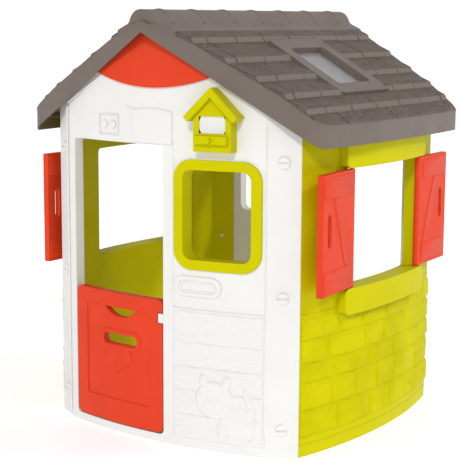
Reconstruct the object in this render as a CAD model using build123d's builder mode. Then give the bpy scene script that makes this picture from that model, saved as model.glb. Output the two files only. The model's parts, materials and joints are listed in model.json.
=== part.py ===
from build123d import *
from math import acos, asin, cos, degrees, hypot, radians, sin, sqrt, tan
import os

"""Plastic playhouse for small children, in millimetres.

+Z is up, the origin is on the ground in the middle of the house, the front wall faces -Y and the side walls
face +X and -X. Walls, door and shutters are hollow mouldings that are open along their lower edge. The roof
halves are single skins.
"""

# ---- driving dimensions: plan of the walls ----
corner_x = 470.0            # side wall ends, half distance across
corner_y = 429.0            # side wall ends, half distance front to back
face_x = 380.0              # ends of the bowed front and rear faces
face_y = 485.0
front_bow = 56.0            # rise of the bowed front and rear faces over their chord
side_bow = 56.0             # rise of the bowed side walls over their chord
wall_depth = 38.0           # front skin to inner skin
wall_skin = 2.0
panel_gap = 0.3             # between wall panels that meet

# ---- driving dimensions: roof ----
overall_height = 1350.0
eave_overhang = 84.0        # eave corner beyond the side wall ends
eave_x = corner_x + eave_overhang
eave_y = 469.5              # eave corner, half length
eave_bow = 26.0             # rise of the eave line over its chord
eave_corner_radius = 60.0
ridge_y = 597.0             # half length of the ridge
peak_z = overall_height - 24.0      # top of the roof skin at the ridge
# tile lips: distance in from the eave corner, drop under the top
course_lips = [(eave_x - inward, overall_height - drop) for inward, drop in
               [(406.0, 87.0), (301.0, 144.0), (205.0, 197.0), (119.0, 245.0), (55.0, 288.0)]]
riser_run = 8.0             # each tile course ends in a slanted riser
riser_drop = 15.0
flare = [(eave_x - 29.0, overall_height - 317.0), (eave_x - 2.0, overall_height - 342.0)]
fascia_bottom_z = overall_height - 399.0
verge_apex_z = overall_height - 68.0       # lower edge of the verge boards at the ridge
roof_skin = 4.0             # measured straight down
board_thickness = 4.0       # verge boards and fascia
strip_width = 14.0          # smooth strip along the verges and the eave, under the tile lips
strip_wall = 3.0            # upright wall between the tiles and the strip
strip_drop = 9.0            # strip under the tile lips along the verges
strip_eave_z = overall_height - 335.0
seat_gap = 0.3              # roof skin over the wall tops
ridge_flat_half = 70.0      # flat top of the gable walls under the ridge

# ---- ridge roll ----
roll_radius = 48.0
roll_skin = 4.0
roll_band_rise = 2.0
roll_band_width = 14.0
roll_band_count = 7
roll_band_pitch = 169.0
roll_lower_z = overall_height - 42.0

# ---- roof window, one in the middle of each half ----
roof_window_x = eave_x - 254.2
roof_window_z = overall_height - 194.6
roof_window_tilt = 30.0
roof_window_outer = 316.0
roof_window_opening = 212.0
roof_window_rise = 26.0
roof_window_drop = 8.0
roof_window_wall = 4.0
roof_window_radius = 18.0
pane_thickness = 3.0
pane_ledge = 5.0
pane_gap = 0.3

# ---- big slotted screws in the corner strips ----
corner_screw_z = [86.0, 495.0, 904.0]
corner_screw_head_radius = 19.0
corner_screw_head = 7.0
corner_screw_radius = 6.5
corner_screw_hole_gap = 0.9
corner_screw_thread_gap = 0.05
corner_screw_slot = 5.0
corner_boss_radius = 14.0
flange_depth = 4.0
flange_root = 60.0
flange_margin = 8.0

# ---- roof screws ----
roof_screw_x = [174.0, 341.0]
roof_screw_radius = 3.0
roof_screw_head_radius = 8.0
roof_screw_head = 4.0
roof_screw_length = 26.0
roof_screw_gap = 0.3

# ---- door ----
door_left = -352.0
door_right = 40.0
door_top = 941.0
door_sill = 25.0
door_corner = 15.0
door_rebate = 7.0           # the return stands back behind the edge of the opening
leaf_gap_left = 4.0
leaf_gap_right = 3.0
leaf_gap_sill = 4.0
leaf_top = 457.0
leaf_depth = 26.0
leaf_skin = 2.0
leaf_corner = 22.0
leaf_panel_recess = 3.0
leaf_panel_margin = 50.0
leaf_panel_bottom = 105.0
leaf_panel_top = 409.0
hand_hole_width = 138.0
hand_hole_drop = 30.0
slot_width = 148.0
slot_height = 35.0
slot_z = 305.0
slot_x = -141.0
hinge_inset = 14.0          # hinge axis to the left jamb
hinge_back = 10.0           # hinge axis behind the back of the leaf
hinge_z = [110.0, 360.0]
knuckle_radius = 7.0
knuckle_half = 12.0
lug_height = 11.0
hinge_play = 0.5
pin_radius = 3.5
pin_gap = 0.05
catch_height = 30.0
catch_z = 399.0
catch_reach = 20.0
catch_thickness = 4.0
catch_clearance = 3.0

# ---- front window and its frame ----
front_window_x = 228.0
front_window_z = 735.0
front_window_width = 224.0
front_window_height = 275.0
front_window_radius = 28.0
frame_face = 31.0
frame_radius = 60.0
frame_proud = 8.0
frame_sleeve = 3.5
frame_gap = 0.3

# ---- rear window, which sits opposite the front window's side ----
rear_window_x = 228.0
rear_window_radius = 26.0

# ---- side windows, sills, heads and shutters ----
side_window_half = 232.0
side_window_bottom = 504.0
side_window_top = 877.0
side_window_radius = 15.0
side_wall_top = overall_height - 340.0
ledge_proud = 27.0
ledge_half = 264.0
sill_bottom = 421.0
head_top = 985.0
ledge_skin = 2.5
ledge_corner = 20.0            # rounded corners seen from outside
ledge_end = 9.0                # end walls, thick enough for the rounded corners
shutter_axis_x = corner_x + side_bow - 2.0
shutter_axis_y = 224.0
shutter_thickness = 20.0
shutter_skin = 2.0
shutter_play = 4.0          # over the sill and under the head
shutter_meet = 3.0          # each free edge to the middle of the window, when shut
peg_radius = 6.0
peg_gap = 0.05
peg_length = 16.0
peg_hole_spare = 2.0
peg_boss_radius = 10.0
handle_slot_length = 100.0
handle_slot_width = 24.0
handle_slot_inset = 46.0
handle_slot_z = 703.0
shutter_open = {"right_front": 175.0, "right_rear": 183.0, "left_front": 180.0, "left_rear": 178.0}

# ---- gable pieces ----
gable_half = 240.0
gable_bottom_z = overall_height - 235.0
gable_proud = 8.0             # over the front wall
gable_overlap = 24.0          # over the lower edge of the verge boards
gable_skin = 3.0

# ---- plates and bird house ----
plate_gap = 0.2
number_plate_x = -180.0
number_plate_width = 150.0
number_plate_bottom = 944.0
number_plate_side = 98.0
number_plate_rise = 9.0
number_plate_thickness = 4.0
number_field = (104.0, 68.0)
number_field_z = 994.0
name_plate_x = 166.0
name_plate_z = 513.0
name_plate_size = (158.0, 62.0)
name_field_size = (132.0, 38.0)
name_plate_thickness = 5.0
field_depth = 2.0
house_x = 230.0
house_bottom = 932.0
house_apex = 1123.0
house_half = 62.0
house_roof_half = 87.0
house_roof_thickness = 20.0
house_depth = 40.0
house_roof_depth = 58.0
house_skin = 3.0
house_window = (86.0, 51.0)
house_window_z = 1012.5
ledge_width = 106.0
ledge_bottom = 956.0
ledge_top = 981.0
ledge_depth = 55.0
cover_radius = 44.0
cover_thickness = 3.0
perch_radius = 6.0
perch_length = 18.0

far = 900.0                 # well outside the house


# ---- worked-out values ----
def bow_radius(half_chord, bow):
    """Radius of an arc from half its chord and its rise."""
    return (half_chord ** 2 + bow ** 2) / (2 * bow)


front_radius = bow_radius(face_x, front_bow)
front_centre_y = front_radius - face_y - front_bow
side_radius = bow_radius(corner_y, side_bow)
side_centre_x = corner_x + side_bow - side_radius

strip_length = hypot(corner_x - face_x, face_y - corner_y)
strip_out = ((face_y - corner_y) / strip_length, (corner_x - face_x) / strip_length)
strip_mid = ((corner_x + face_x) / 2, (corner_y + face_y) / 2)

side_end_angle = asin(corner_y / side_radius)
mitre_x = -(strip_out[0] + cos(side_end_angle))
mitre_y = strip_out[1] + sin(side_end_angle)
mitre = (mitre_x / hypot(mitre_x, mitre_y), mitre_y / hypot(mitre_x, mitre_y))

leaf_left = door_left + leaf_gap_left
leaf_right = door_right - leaf_gap_right
leaf_bottom = door_sill + leaf_gap_sill
hinge_x = door_left + hinge_inset
hinge_y = front_centre_y - sqrt((front_radius - leaf_depth) ** 2 - hinge_x ** 2) + hinge_back

shutter_length = shutter_axis_y - shutter_meet
shutter_bottom = side_window_bottom + shutter_play
shutter_top = side_window_top - shutter_play
wall_window_width = front_window_width + 2 * (frame_sleeve + frame_gap)
wall_window_height = front_window_height + 2 * (frame_sleeve + frame_gap)
wall_window_radius = front_window_radius + frame_sleeve + frame_gap

roll_centre_z = overall_height - roll_radius - roll_band_rise
verge_slope = (verge_apex_z - fascia_bottom_z) / eave_x
seat_slope = ((course_lips[0][1] - course_lips[3][1]) / (course_lips[3][0] - course_lips[0][0]))
seat_x = course_lips[0][0] + riser_run
seat_z = course_lips[0][1] - riser_drop - roof_skin - seat_gap


def front_face_y(x, proud=0.0):
    """Y of the front wall's face at x, moved outwards by proud."""
    return front_centre_y - sqrt((front_radius + proud) ** 2 - x ** 2)


def side_face_x(y, proud=0.0):
    """X of the right wall's face at y, moved outwards by proud."""
    return side_centre_x + sqrt((side_radius + proud) ** 2 - y ** 2)


def gable_top_z(x, lower=0.0):
    """Top of the front and rear walls at x, which follows the underside of the roof."""
    return seat_z - seat_slope * (max(abs(x), ridge_flat_half) - seat_x) - lower


def roof_surface():
    """Top of the right roof half as points from the ridge to past the eave."""
    points = [(0.0, peak_z)]
    for lip_x, lip_z in course_lips:
        points += [(lip_x, lip_z), (lip_x + riser_run, lip_z - riser_drop)]
    return points + flare + [(far, flare[-1][1])]


def strip_surface():
    """Top of the smooth strip along the verges and the eave."""
    points = [(0.0, peak_z - strip_drop)]
    points += [(lip_x, lip_z - strip_drop) for lip_x, lip_z in course_lips]
    return points + [(flare[-1][0], strip_eave_z + 1), (far, strip_eave_z)]


def lowered(points, drop):
    """Points of a section moved down, in reverse order."""
    return [(x, z - drop) for x, z in reversed(points)]


# ---- shared plan shapes ----
def plan_outline(depth):
    """Plan of the four walls, moved inwards by depth."""
    with BuildSketch() as plan:
        with BuildLine():
            front = ThreePointArc((-face_x, -face_y), (0, -face_y - front_bow), (face_x, -face_y))
            Line(front @ 1, (corner_x, -corner_y))
            right = ThreePointArc((corner_x, -corner_y), (corner_x + side_bow, 0), (corner_x, corner_y))
            Line(right @ 1, (face_x, face_y))
            rear = ThreePointArc((face_x, face_y), (0, face_y + front_bow), (-face_x, face_y))
            Line(rear @ 1, (-corner_x, corner_y))
            left = ThreePointArc((-corner_x, corner_y), (-corner_x - side_bow, 0), (-corner_x, -corner_y))
            Line(left @ 1, front @ 0)
        make_face()
        if depth:
            offset(amount=-depth, kind=Kind.INTERSECTION)
    return plan.sketch


def front_zone(inset=0.0):
    """Part of the plan that belongs to the front wall, bounded by the mitres at its two ends."""
    side_x, side_y = mitre[1] * inset, -mitre[0] * inset
    near = (corner_x - 80 * mitre[0] - side_x, -corner_y - 80 * mitre[1] - side_y)
    inner = (corner_x + 160 * mitre[0] - side_x, -corner_y + 160 * mitre[1] - side_y)
    with BuildSketch() as zone:
        with BuildLine():
            Polyline(near, inner, (-inner[0], inner[1]), (-near[0], near[1]), (-far, -far), (far, -far), near)
        make_face()
    return zone.sketch


def side_zone(inset=0.0):
    """Part of the plan that belongs to the right wall."""
    side_x, side_y = mitre[1] * inset, -mitre[0] * inset
    near = (corner_x - 80 * mitre[0] + side_x, -corner_y - 80 * mitre[1] + side_y)
    inner = (corner_x + 160 * mitre[0] + side_x, -corner_y + 160 * mitre[1] + side_y)
    with BuildSketch() as zone:
        with BuildLine():
            Polyline(near, inner, (inner[0], -inner[1]), (near[0], -near[1]), (far, far), (far, -far), near)
        make_face()
    return zone.sketch


def band(outer, inner, zone, low, high):
    """Upright band between two depths of the wall plan, within a zone."""
    with BuildPart() as piece:
        with BuildSketch(Plane.XY.offset(low)):
            add(plan_outline(outer))
            add(plan_outline(inner), mode=Mode.SUBTRACT)
            add(zone, mode=Mode.INTERSECT)
        extrude(amount=high - low)
    return piece.part


def front_layer(proud, depth):
    """Upright ring that follows the front wall's bow, from proud of its face to a depth behind it."""
    with BuildPart() as ring:
        with BuildSketch():
            with Locations((0, front_centre_y)):
                Circle(front_radius + proud)
                Circle(front_radius - depth, mode=Mode.SUBTRACT)
        extrude(amount=overall_height)
    return ring.part


def side_layer(proud, depth):
    """Upright ring that follows the right wall's bow."""
    with BuildPart() as ring:
        with BuildSketch():
            with Locations((side_centre_x, 0)):
                Circle(side_radius + proud)
                Circle(side_radius - depth, mode=Mode.SUBTRACT)
        extrude(amount=overall_height)
    return ring.part


def front_block(x, z, width, height, radius):
    """Rounded block that runs through the front wall along Y."""
    with BuildPart() as block:
        with BuildSketch(Plane.XZ.offset(face_y - 130)):
            with Locations((x, z)):
                RectangleRounded(width, height, radius)
        extrude(amount=260)
    return block.part


def side_block(y, z, width, height, radius):
    """Rounded block that runs through the right wall along X."""
    with BuildPart() as block:
        with BuildSketch(Plane.YZ.offset(corner_x - 120)):
            with Locations((y, z)):
                RectangleRounded(width, height, radius)
        extrude(amount=260)
    return block.part


def strip_plane(side, end, z):
    """Plane on a corner strip at height z, facing outwards: side is the sign of x, end the sign of y."""
    return Plane(origin=(side * strip_mid[0], end * strip_mid[1], z), x_dir=(0, 0, 1),
                 z_dir=(side * strip_out[0], end * strip_out[1], 0))


def roof_screw_plane(side, end, x):
    """Plane on the roof skin over the middle of the gable wall's thickness, facing up and outwards."""
    y = front_face_y(x) + wall_depth / 2
    surface = roof_surface()
    for (x0, z0), (x1, z1) in zip(surface, surface[1:]):
        if x0 <= x < x1:
            z = z0 + (z1 - z0) * (x - x0) / (x1 - x0)
            run, drop = x1 - x0, z0 - z1
    length = hypot(run, drop)
    return Plane(origin=(side * x, -end * y, z), x_dir=(0, 1, 0), z_dir=(side * drop / length, 0, run / length))


def gable_prism(lower=0.0):
    """Upright gable-topped prism through the whole house, along Y."""
    with BuildPart() as prism:
        with BuildSketch(Plane.XZ.offset(-far)):
            with BuildLine():
                Polyline((-far, -10), (far, -10), (far, gable_top_z(far, lower)),
                         (ridge_flat_half, gable_top_z(0, lower)), (-ridge_flat_half, gable_top_z(0, lower)),
                         (-far, gable_top_z(far, lower)), (-far, -10))
            make_face()
        extrude(amount=2 * far)
    return prism.part


# ---- end walls ----
def end_wall_cavity():
    """Space between the two skins of the front or rear wall, open at the bottom."""
    with BuildPart() as cavity:
        add(band(wall_skin, wall_depth - wall_skin, front_zone(wall_skin), -5, overall_height))
        add(gable_prism(wall_skin), mode=Mode.INTERSECT)
        for side in (-1, 1):
            with Locations(*[strip_plane(side, -1, z) for z in corner_screw_z]):
                Cylinder(corner_boss_radius, 3 * wall_depth, mode=Mode.SUBTRACT)
            for x in roof_screw_x:
                with Locations(roof_screw_plane(side, -1, x)):
                    Cylinder(roof_screw_head_radius, 2 * roof_screw_length, mode=Mode.SUBTRACT)
    return cavity.part


def end_wall_blank():
    """Front or rear wall without its openings: skins, ends and screw holes."""
    with BuildPart() as blank:
        add(band(0, wall_depth, front_zone(panel_gap / 2), 0, overall_height))
        add(gable_prism(), mode=Mode.INTERSECT)
        for side in (-1, 1):
            with Locations(*[strip_plane(side, -1, z) for z in corner_screw_z]):
                Cylinder(corner_screw_radius + corner_screw_hole_gap, 3 * wall_depth, mode=Mode.SUBTRACT)
            for x in roof_screw_x:
                with Locations(roof_screw_plane(side, -1, x)):
                    Cylinder(roof_screw_radius + pin_gap, 2 * roof_screw_length + 2, mode=Mode.SUBTRACT)
    return blank.part


door_mid_x = (door_left + door_right) / 2
door_width = door_right - door_left
door_height = door_top - door_sill
door_mid_z = (door_top + door_sill) / 2

with BuildPart() as front_cavity:
    add(end_wall_cavity())
    add(front_block(door_mid_x + door_rebate / 2, door_mid_z, door_width + door_rebate + 2 * wall_skin,
                    door_height + 2 * wall_skin, door_corner), mode=Mode.SUBTRACT)
    add(front_block(front_window_x, front_window_z, wall_window_width + 2 * wall_skin,
                    wall_window_height + 2 * wall_skin, wall_window_radius + wall_skin), mode=Mode.SUBTRACT)

with BuildPart() as rebate:
    add(front_block(door_right, door_mid_z, 2 * door_rebate, door_height, door_rebate / 2))
    add(front_layer(0, catch_thickness), mode=Mode.SUBTRACT)

with BuildPart() as front_wall:
    add(end_wall_blank())
    add(front_cavity.part, mode=Mode.SUBTRACT)
    add(front_block(door_mid_x, door_mid_z, door_width, door_height, door_corner), mode=Mode.SUBTRACT)
    add(rebate.part, mode=Mode.SUBTRACT)
    add(front_block(front_window_x, front_window_z, wall_window_width, wall_window_height, wall_window_radius),
        mode=Mode.SUBTRACT)
    for z in hinge_z:
        for low in (z - knuckle_half - hinge_play - lug_height, z + knuckle_half + hinge_play):
            with BuildSketch(Plane.XY.offset(low)):
                with Locations((hinge_x, hinge_y)):
                    Circle(knuckle_radius)
                with Locations((hinge_x - hinge_inset / 2 - wall_skin / 4, hinge_y)):
                    Rectangle(hinge_inset + wall_skin / 2, 2 * knuckle_radius - 2)
            extrude(amount=lug_height)
        with Locations((hinge_x, hinge_y, z)):
            Cylinder(pin_radius + pin_gap, 6 * knuckle_half, mode=Mode.SUBTRACT)

with BuildPart() as rear_cavity:
    add(end_wall_cavity())
    add(front_block(rear_window_x, front_window_z, front_window_width + 2 * wall_skin,
                    front_window_height + 2 * wall_skin, rear_window_radius + wall_skin), mode=Mode.SUBTRACT)
    add(front_block(door_mid_x, door_mid_z, door_width + 2 * wall_skin, door_height + 2 * wall_skin, door_corner),
        mode=Mode.SUBTRACT)

with BuildPart() as rear_wall_turned:
    add(end_wall_blank())
    add(rear_cavity.part, mode=Mode.SUBTRACT)
    add(front_block(rear_window_x, front_window_z, front_window_width, front_window_height, rear_window_radius),
        mode=Mode.SUBTRACT)
    add(front_block(door_mid_x, door_mid_z, door_width, door_height, door_corner), mode=Mode.SUBTRACT)

with BuildPart() as rear_wall:
    add(rear_wall_turned.part.rotate(Axis.Z, 180))

# ---- side walls ----
side_window_mid_z = (side_window_top + side_window_bottom) / 2
side_window_height = side_window_top - side_window_bottom

with BuildPart() as side_cavity:
    add(band(wall_skin, wall_depth - wall_skin, side_zone(wall_skin), -5, side_wall_top - wall_skin))
    add(side_block(0, side_window_mid_z, 2 * (side_window_half + wall_skin), side_window_height + 2 * wall_skin,
                   side_window_radius + wall_skin), mode=Mode.SUBTRACT)

with BuildSketch() as flange_root_zone:
    add(side_zone(panel_gap / 2))
    with Locations((corner_x, 0)):
        Rectangle(4 * wall_depth, 2 * (corner_y - flange_root), mode=Mode.SUBTRACT)

with BuildSketch() as flange_strip_zone:
    for end in (-1, 1):
        with Locations(Location((strip_mid[0], end * strip_mid[1]), degrees(acos(strip_out[1])) * -end)):
            Rectangle(strip_length - 2 * flange_margin + 4 * wall_depth, 6 * wall_depth, align=(Align.MIN, Align.CENTER))
            Rectangle(strip_length / 2 - flange_margin, 6 * wall_depth, align=(Align.MAX, Align.CENTER))
    add(side_zone(-strip_length), mode=Mode.INTERSECT)

with BuildPart() as right_wall:
    add(band(0, wall_depth, side_zone(panel_gap / 2), 0, side_wall_top))
    add(side_cavity.part, mode=Mode.SUBTRACT)
    add(band(wall_depth - wall_skin, wall_depth + flange_depth, flange_root_zone.sketch, 0, side_wall_top))
    add(band(wall_depth + panel_gap, wall_depth + flange_depth, flange_strip_zone.sketch, 0, side_wall_top))
    add(side_block(0, side_window_mid_z, 2 * side_window_half, side_window_height, side_window_radius),
        mode=Mode.SUBTRACT)
    for end in (-1, 1):
        with Locations(*[strip_plane(1, end, z) for z in corner_screw_z]):
            Cylinder(corner_screw_radius + corner_screw_thread_gap, 4 * wall_depth, mode=Mode.SUBTRACT)

with BuildPart() as left_wall:
    mirror(right_wall.part, about=Plane.YZ)


# ---- window sills and heads, which hold the shutter pegs ----
def peg_points(z):
    """Peg axes of the right wall's two shutters at height z."""
    return [(shutter_axis_x, -shutter_axis_y, z), (shutter_axis_x, shutter_axis_y, z)]


def ledge(low, high, open_low, open_high, socket_z):
    """Sill or head: a bowed box proud of the right wall, hollow towards one end, with two peg sockets."""
    with BuildPart() as space:
        add(side_block(0, (open_low + open_high) / 2, 2 * (ledge_half - ledge_end), open_high - open_low, 1))
        add(side_layer(ledge_proud - ledge_skin, -plate_gap - ledge_skin), mode=Mode.INTERSECT)
        with Locations(*peg_points((low + high) / 2)):
            Cylinder(peg_boss_radius, high - low, mode=Mode.SUBTRACT)
    with BuildPart() as box:
        add(side_block(0, (low + high) / 2, 2 * ledge_half, high - low, ledge_corner))
        add(side_layer(ledge_proud, -plate_gap), mode=Mode.INTERSECT)
        add(space.part, mode=Mode.SUBTRACT)
        with Locations(*peg_points(socket_z)):
            Cylinder(peg_radius + peg_gap, 2 * (peg_length - shutter_play + peg_hole_spare), mode=Mode.SUBTRACT)
    return box.part


with BuildPart() as right_window_sill:
    add(ledge(sill_bottom, side_window_bottom, sill_bottom - 5, side_window_bottom - ledge_skin,
              side_window_bottom))

with BuildPart() as right_window_head:
    add(ledge(side_window_top, head_top, side_window_top + ledge_skin, head_top + 5, side_window_top))

with BuildPart() as left_window_sill:
    mirror(right_window_sill.part, about=Plane.YZ)

with BuildPart() as left_window_head:
    mirror(right_window_head.part, about=Plane.YZ)


# ---- shutters ----
def shutter():
    """Shutter with its peg axis on Z and its free edge towards +X."""
    mid_z = (shutter_top + shutter_bottom) / 2
    height = shutter_top - shutter_bottom
    half = shutter_thickness / 2
    slot_x = shutter_length - handle_slot_inset
    with BuildPart() as cavity:
        with Locations((0, 0, mid_z - shutter_skin)):
            Box(shutter_length - shutter_skin - half, shutter_thickness - 2 * shutter_skin, height,
                align=(Align.MIN, Align.CENTER, Align.CENTER))
        with Locations((0, 0, mid_z)):
            Cylinder(half, 2 * height, mode=Mode.SUBTRACT)
        with BuildSketch(Plane.XZ.offset(-shutter_thickness)):
            with Locations((slot_x, handle_slot_z)):
                SlotOverall(handle_slot_length + 2 * shutter_skin, handle_slot_width + 2 * shutter_skin, rotation=90)
        extrude(amount=2 * shutter_thickness, mode=Mode.SUBTRACT)
    with BuildPart() as leaf:
        with Locations((0, 0, mid_z)):
            Box(shutter_length, shutter_thickness, height, align=(Align.MIN, Align.CENTER, Align.CENTER))
            Cylinder(half, height)
        add(cavity.part, mode=Mode.SUBTRACT)
        with BuildSketch(Plane.XZ.offset(-shutter_thickness)):
            with Locations((slot_x, handle_slot_z)):
                SlotOverall(handle_slot_length, handle_slot_width, rotation=90)
        extrude(amount=2 * shutter_thickness, mode=Mode.SUBTRACT)
        with Locations((0, 0, mid_z)):
            Cylinder(peg_radius, height + 2 * peg_length)
    return leaf.part


def placed_shutter(side, end, opening):
    """Shutter of one window edge, turned open by the given angle from shut."""
    shut = -90.0 * end
    turn = opening * end * side
    return shutter().moved(Location((side * shutter_axis_x, end * shutter_axis_y, 0), (0, 0, shut + turn)))


with BuildPart() as right_front_shutter:
    add(placed_shutter(1, -1, shutter_open["right_front"]))

with BuildPart() as right_rear_shutter:
    add(placed_shutter(1, 1, shutter_open["right_rear"]))

with BuildPart() as left_front_shutter:
    add(placed_shutter(-1, -1, shutter_open["left_front"]))

with BuildPart() as left_rear_shutter:
    add(placed_shutter(-1, 1, shutter_open["left_rear"]))


# ---- roof ----
def roof_plan(inset):
    """Plan of the whole roof with bowed eaves and slanted verges, moved inwards."""
    with BuildSketch() as plan:
        with BuildLine():
            Line((0, -ridge_y), (eave_x, -eave_y))
            ThreePointArc((eave_x, -eave_y), (eave_x + eave_bow, 0), (eave_x, eave_y))
            Polyline((eave_x, eave_y), (0, ridge_y), (-eave_x, eave_y))
            ThreePointArc((-eave_x, eave_y), (-eave_x - eave_bow, 0), (-eave_x, -eave_y))
            Line((-eave_x, -eave_y), (0, -ridge_y))
        make_face()
        fillet([corner for corner in plan.vertices() if abs(corner.X) > eave_x / 2], eave_corner_radius)
        if inset:
            offset(amount=-inset, kind=Kind.INTERSECTION)
    return plan.sketch


def section_prism(points):
    """Prism along Y from a section in X and Z."""
    with BuildPart() as prism:
        with BuildSketch(Plane.XZ.offset(-far)):
            with BuildLine():
                Polyline(*points, points[0])
            make_face()
        extrude(amount=2 * far)
    return prism.part


window_tilt = radians(roof_window_tilt)
roof_window_plane = Plane(origin=(roof_window_x, 0, roof_window_z), x_dir=(cos(window_tilt), 0, -sin(window_tilt)),
                          z_dir=(sin(window_tilt), 0, cos(window_tilt)))


def window_square(size, low, high, radius):
    """Rounded square block square to the roof window's plane."""
    with BuildPart() as block:
        with BuildSketch(roof_window_plane.offset(low)):
            RectangleRounded(size, size, radius)
        extrude(amount=high - low)
    return block.part


def roof_ring(outer, inner, sections):
    """Part of the right roof half between two insets of its plan, from sections in X and Z."""
    with BuildPart() as ring:
        for section in sections:
            add(section_prism(section))
        with BuildSketch():
            add(roof_plan(outer))
            if inner:
                add(roof_plan(inner), mode=Mode.SUBTRACT)
            with Locations((seat_gap / 2, 0)):
                Rectangle(far, 2 * far, align=(Align.MIN, Align.CENTER), mode=Mode.INTERSECT)
        extrude(amount=2 * overall_height, mode=Mode.INTERSECT)
    return ring.part


tiles = roof_surface()
strip = strip_surface()
board_low = [(far, fascia_bottom_z), (eave_x, fascia_bottom_z), (0, verge_apex_z)]
wall_sections = [tiles + lowered(tiles, 2 * strip_wall + riser_drop), strip + lowered(strip, riser_drop)]
with BuildPart() as roof_right:
    add(roof_ring(strip_width, 0, [tiles + lowered(tiles, roof_skin)]))
    add(roof_ring(strip_width, strip_width + strip_wall, wall_sections))
    add(roof_ring(0, strip_width + strip_wall, [strip + lowered(strip, roof_skin)]))
    add(roof_ring(0, board_thickness, [strip + board_low]))
    wall = roof_window_wall
    inner = roof_window_opening + 2 * wall
    add(window_square(roof_window_outer - 2 * wall, -60, 60, roof_window_radius - wall), mode=Mode.SUBTRACT)
    with BuildPart(mode=Mode.PRIVATE) as rim:
        add(window_square(roof_window_outer, -roof_window_drop, roof_window_rise, roof_window_radius))
        add(window_square(roof_window_outer - 2 * wall, -roof_window_drop, roof_window_rise - wall,
                          roof_window_radius - wall), mode=Mode.SUBTRACT)
        add(window_square(inner, -roof_window_drop, roof_window_rise, roof_window_radius))
        add(window_square(roof_window_opening, 0, roof_window_rise, roof_window_radius - wall),
            mode=Mode.SUBTRACT)
        add(window_square(roof_window_opening - 2 * pane_ledge, -roof_window_drop, 1, roof_window_radius - wall),
            mode=Mode.SUBTRACT)
    add(rim.part)
    for end in (-1, 1):
        with Locations(*[roof_screw_plane(1, end, x) for x in roof_screw_x]):
            Cylinder(roof_screw_radius + roof_screw_gap, 40, mode=Mode.SUBTRACT)

with BuildPart() as roof_left:
    add(roof_right.part.rotate(Axis.Z, 180))

with BuildPart() as right_roof_pane:
    add(window_square(roof_window_opening - 2 * pane_gap, pane_gap / 3, pane_gap / 3 + pane_thickness,
                      roof_window_radius - wall))

with BuildPart() as left_roof_pane:
    add(right_roof_pane.part.rotate(Axis.Z, 180))

with BuildPart() as ridge_roll:
    with BuildSketch(Plane.XZ.offset(-ridge_y + 2)):
        with Locations((0, roll_centre_z)):
            Circle(roll_radius)
    extrude(amount=2 * ridge_y - 4)
    for number in range(roll_band_count):
        band_y = (number - (roll_band_count - 1) / 2) * roll_band_pitch
        with BuildSketch(Plane.XZ.offset(band_y - roll_band_width / 2)):
            with Locations((0, roll_centre_z)):
                Circle(roll_radius + roll_band_rise)
        extrude(amount=roll_band_width)
    with BuildSketch(Plane.XZ.offset(-ridge_y + 2 + roll_skin)):
        with Locations((0, roll_centre_z)):
            Circle(roll_radius - roll_skin)
    extrude(amount=2 * (ridge_y - 2 - roll_skin), mode=Mode.SUBTRACT)
    with Locations((0, 0, roll_lower_z)):
        Box(4 * roll_radius, 4 * ridge_y, 4 * roll_radius, align=(Align.CENTER, Align.CENTER, Align.MAX),
            mode=Mode.SUBTRACT)
    ridge_lip_x, ridge_lip_z = course_lips[0]
    add(section_prism([(-ridge_lip_x, ridge_lip_z + seat_gap), (0, peak_z + seat_gap),
                       (ridge_lip_x, ridge_lip_z + seat_gap), (0, 0)]), mode=Mode.SUBTRACT)


# ---- screws ----
def corner_screws(end):
    """Six big slotted screws of one end wall."""
    with BuildPart() as screws:
        places = [strip_plane(side, end, z) for side in (-1, 1) for z in corner_screw_z]
        with Locations(*places):
            Cylinder(corner_screw_head_radius, corner_screw_head, align=(Align.CENTER, Align.CENTER, Align.MIN))
        fillet(screws.edges().filter_by(GeomType.CIRCLE).filter_by(
            lambda edge: abs(edge.center().X) * strip_out[0] + abs(edge.center().Y) * strip_out[1]
            > strip_mid[0] * strip_out[0] + strip_mid[1] * strip_out[1] + corner_screw_head / 2),
            corner_screw_head / 2)
        with Locations(*places):
            Cylinder(corner_screw_radius, wall_depth + panel_gap + flange_depth,
                     align=(Align.CENTER, Align.CENTER, Align.MAX))
            with Locations((0, 0, corner_screw_head)):
                Box(corner_screw_slot, 2 * corner_screw_head_radius - corner_screw_slot, corner_screw_head,
                    mode=Mode.SUBTRACT)
    return screws.part


with BuildPart() as front_corner_screws:
    add(corner_screws(-1))

with BuildPart() as rear_corner_screws:
    add(corner_screws(1))

with BuildPart() as right_roof_screws:
    places = [roof_screw_plane(1, end, x) for end in (-1, 1) for x in roof_screw_x]
    with Locations(*places):
        with Locations((0, 0, seat_gap)):
            Cylinder(roof_screw_head_radius, roof_screw_head, align=(Align.CENTER, Align.CENTER, Align.MIN))
        Cylinder(roof_screw_radius, roof_screw_length, align=(Align.CENTER, Align.CENTER, Align.MAX))
        Cylinder(roof_screw_radius, seat_gap, align=(Align.CENTER, Align.CENTER, Align.MIN))

with BuildPart() as left_roof_screws:
    add(right_roof_screws.part.rotate(Axis.Z, 180))


# ---- red gable pieces ----
def gable_piece(inset):
    """Gable piece that follows the front wall's bow under the roof, its outline moved inwards."""
    top_z = verge_apex_z + gable_overlap - inset / cos(radians(31))
    side_x = gable_half - inset * 2
    with BuildPart() as piece:
        with BuildSketch(Plane.XZ.offset(face_y - 50)):
            with BuildLine():
                Polyline((-side_x, top_z - verge_slope * side_x), (0, top_z), (side_x, top_z - verge_slope * side_x))
                ThreePointArc((-side_x, top_z - verge_slope * side_x), (0, gable_bottom_z + inset),
                              (side_x, top_z - verge_slope * side_x))
            make_face()
        extrude(amount=300)
        add(front_layer(gable_proud - inset, -plate_gap), mode=Mode.INTERSECT)
        add(gable_prism(inset), mode=Mode.INTERSECT)
    return piece.part


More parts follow.
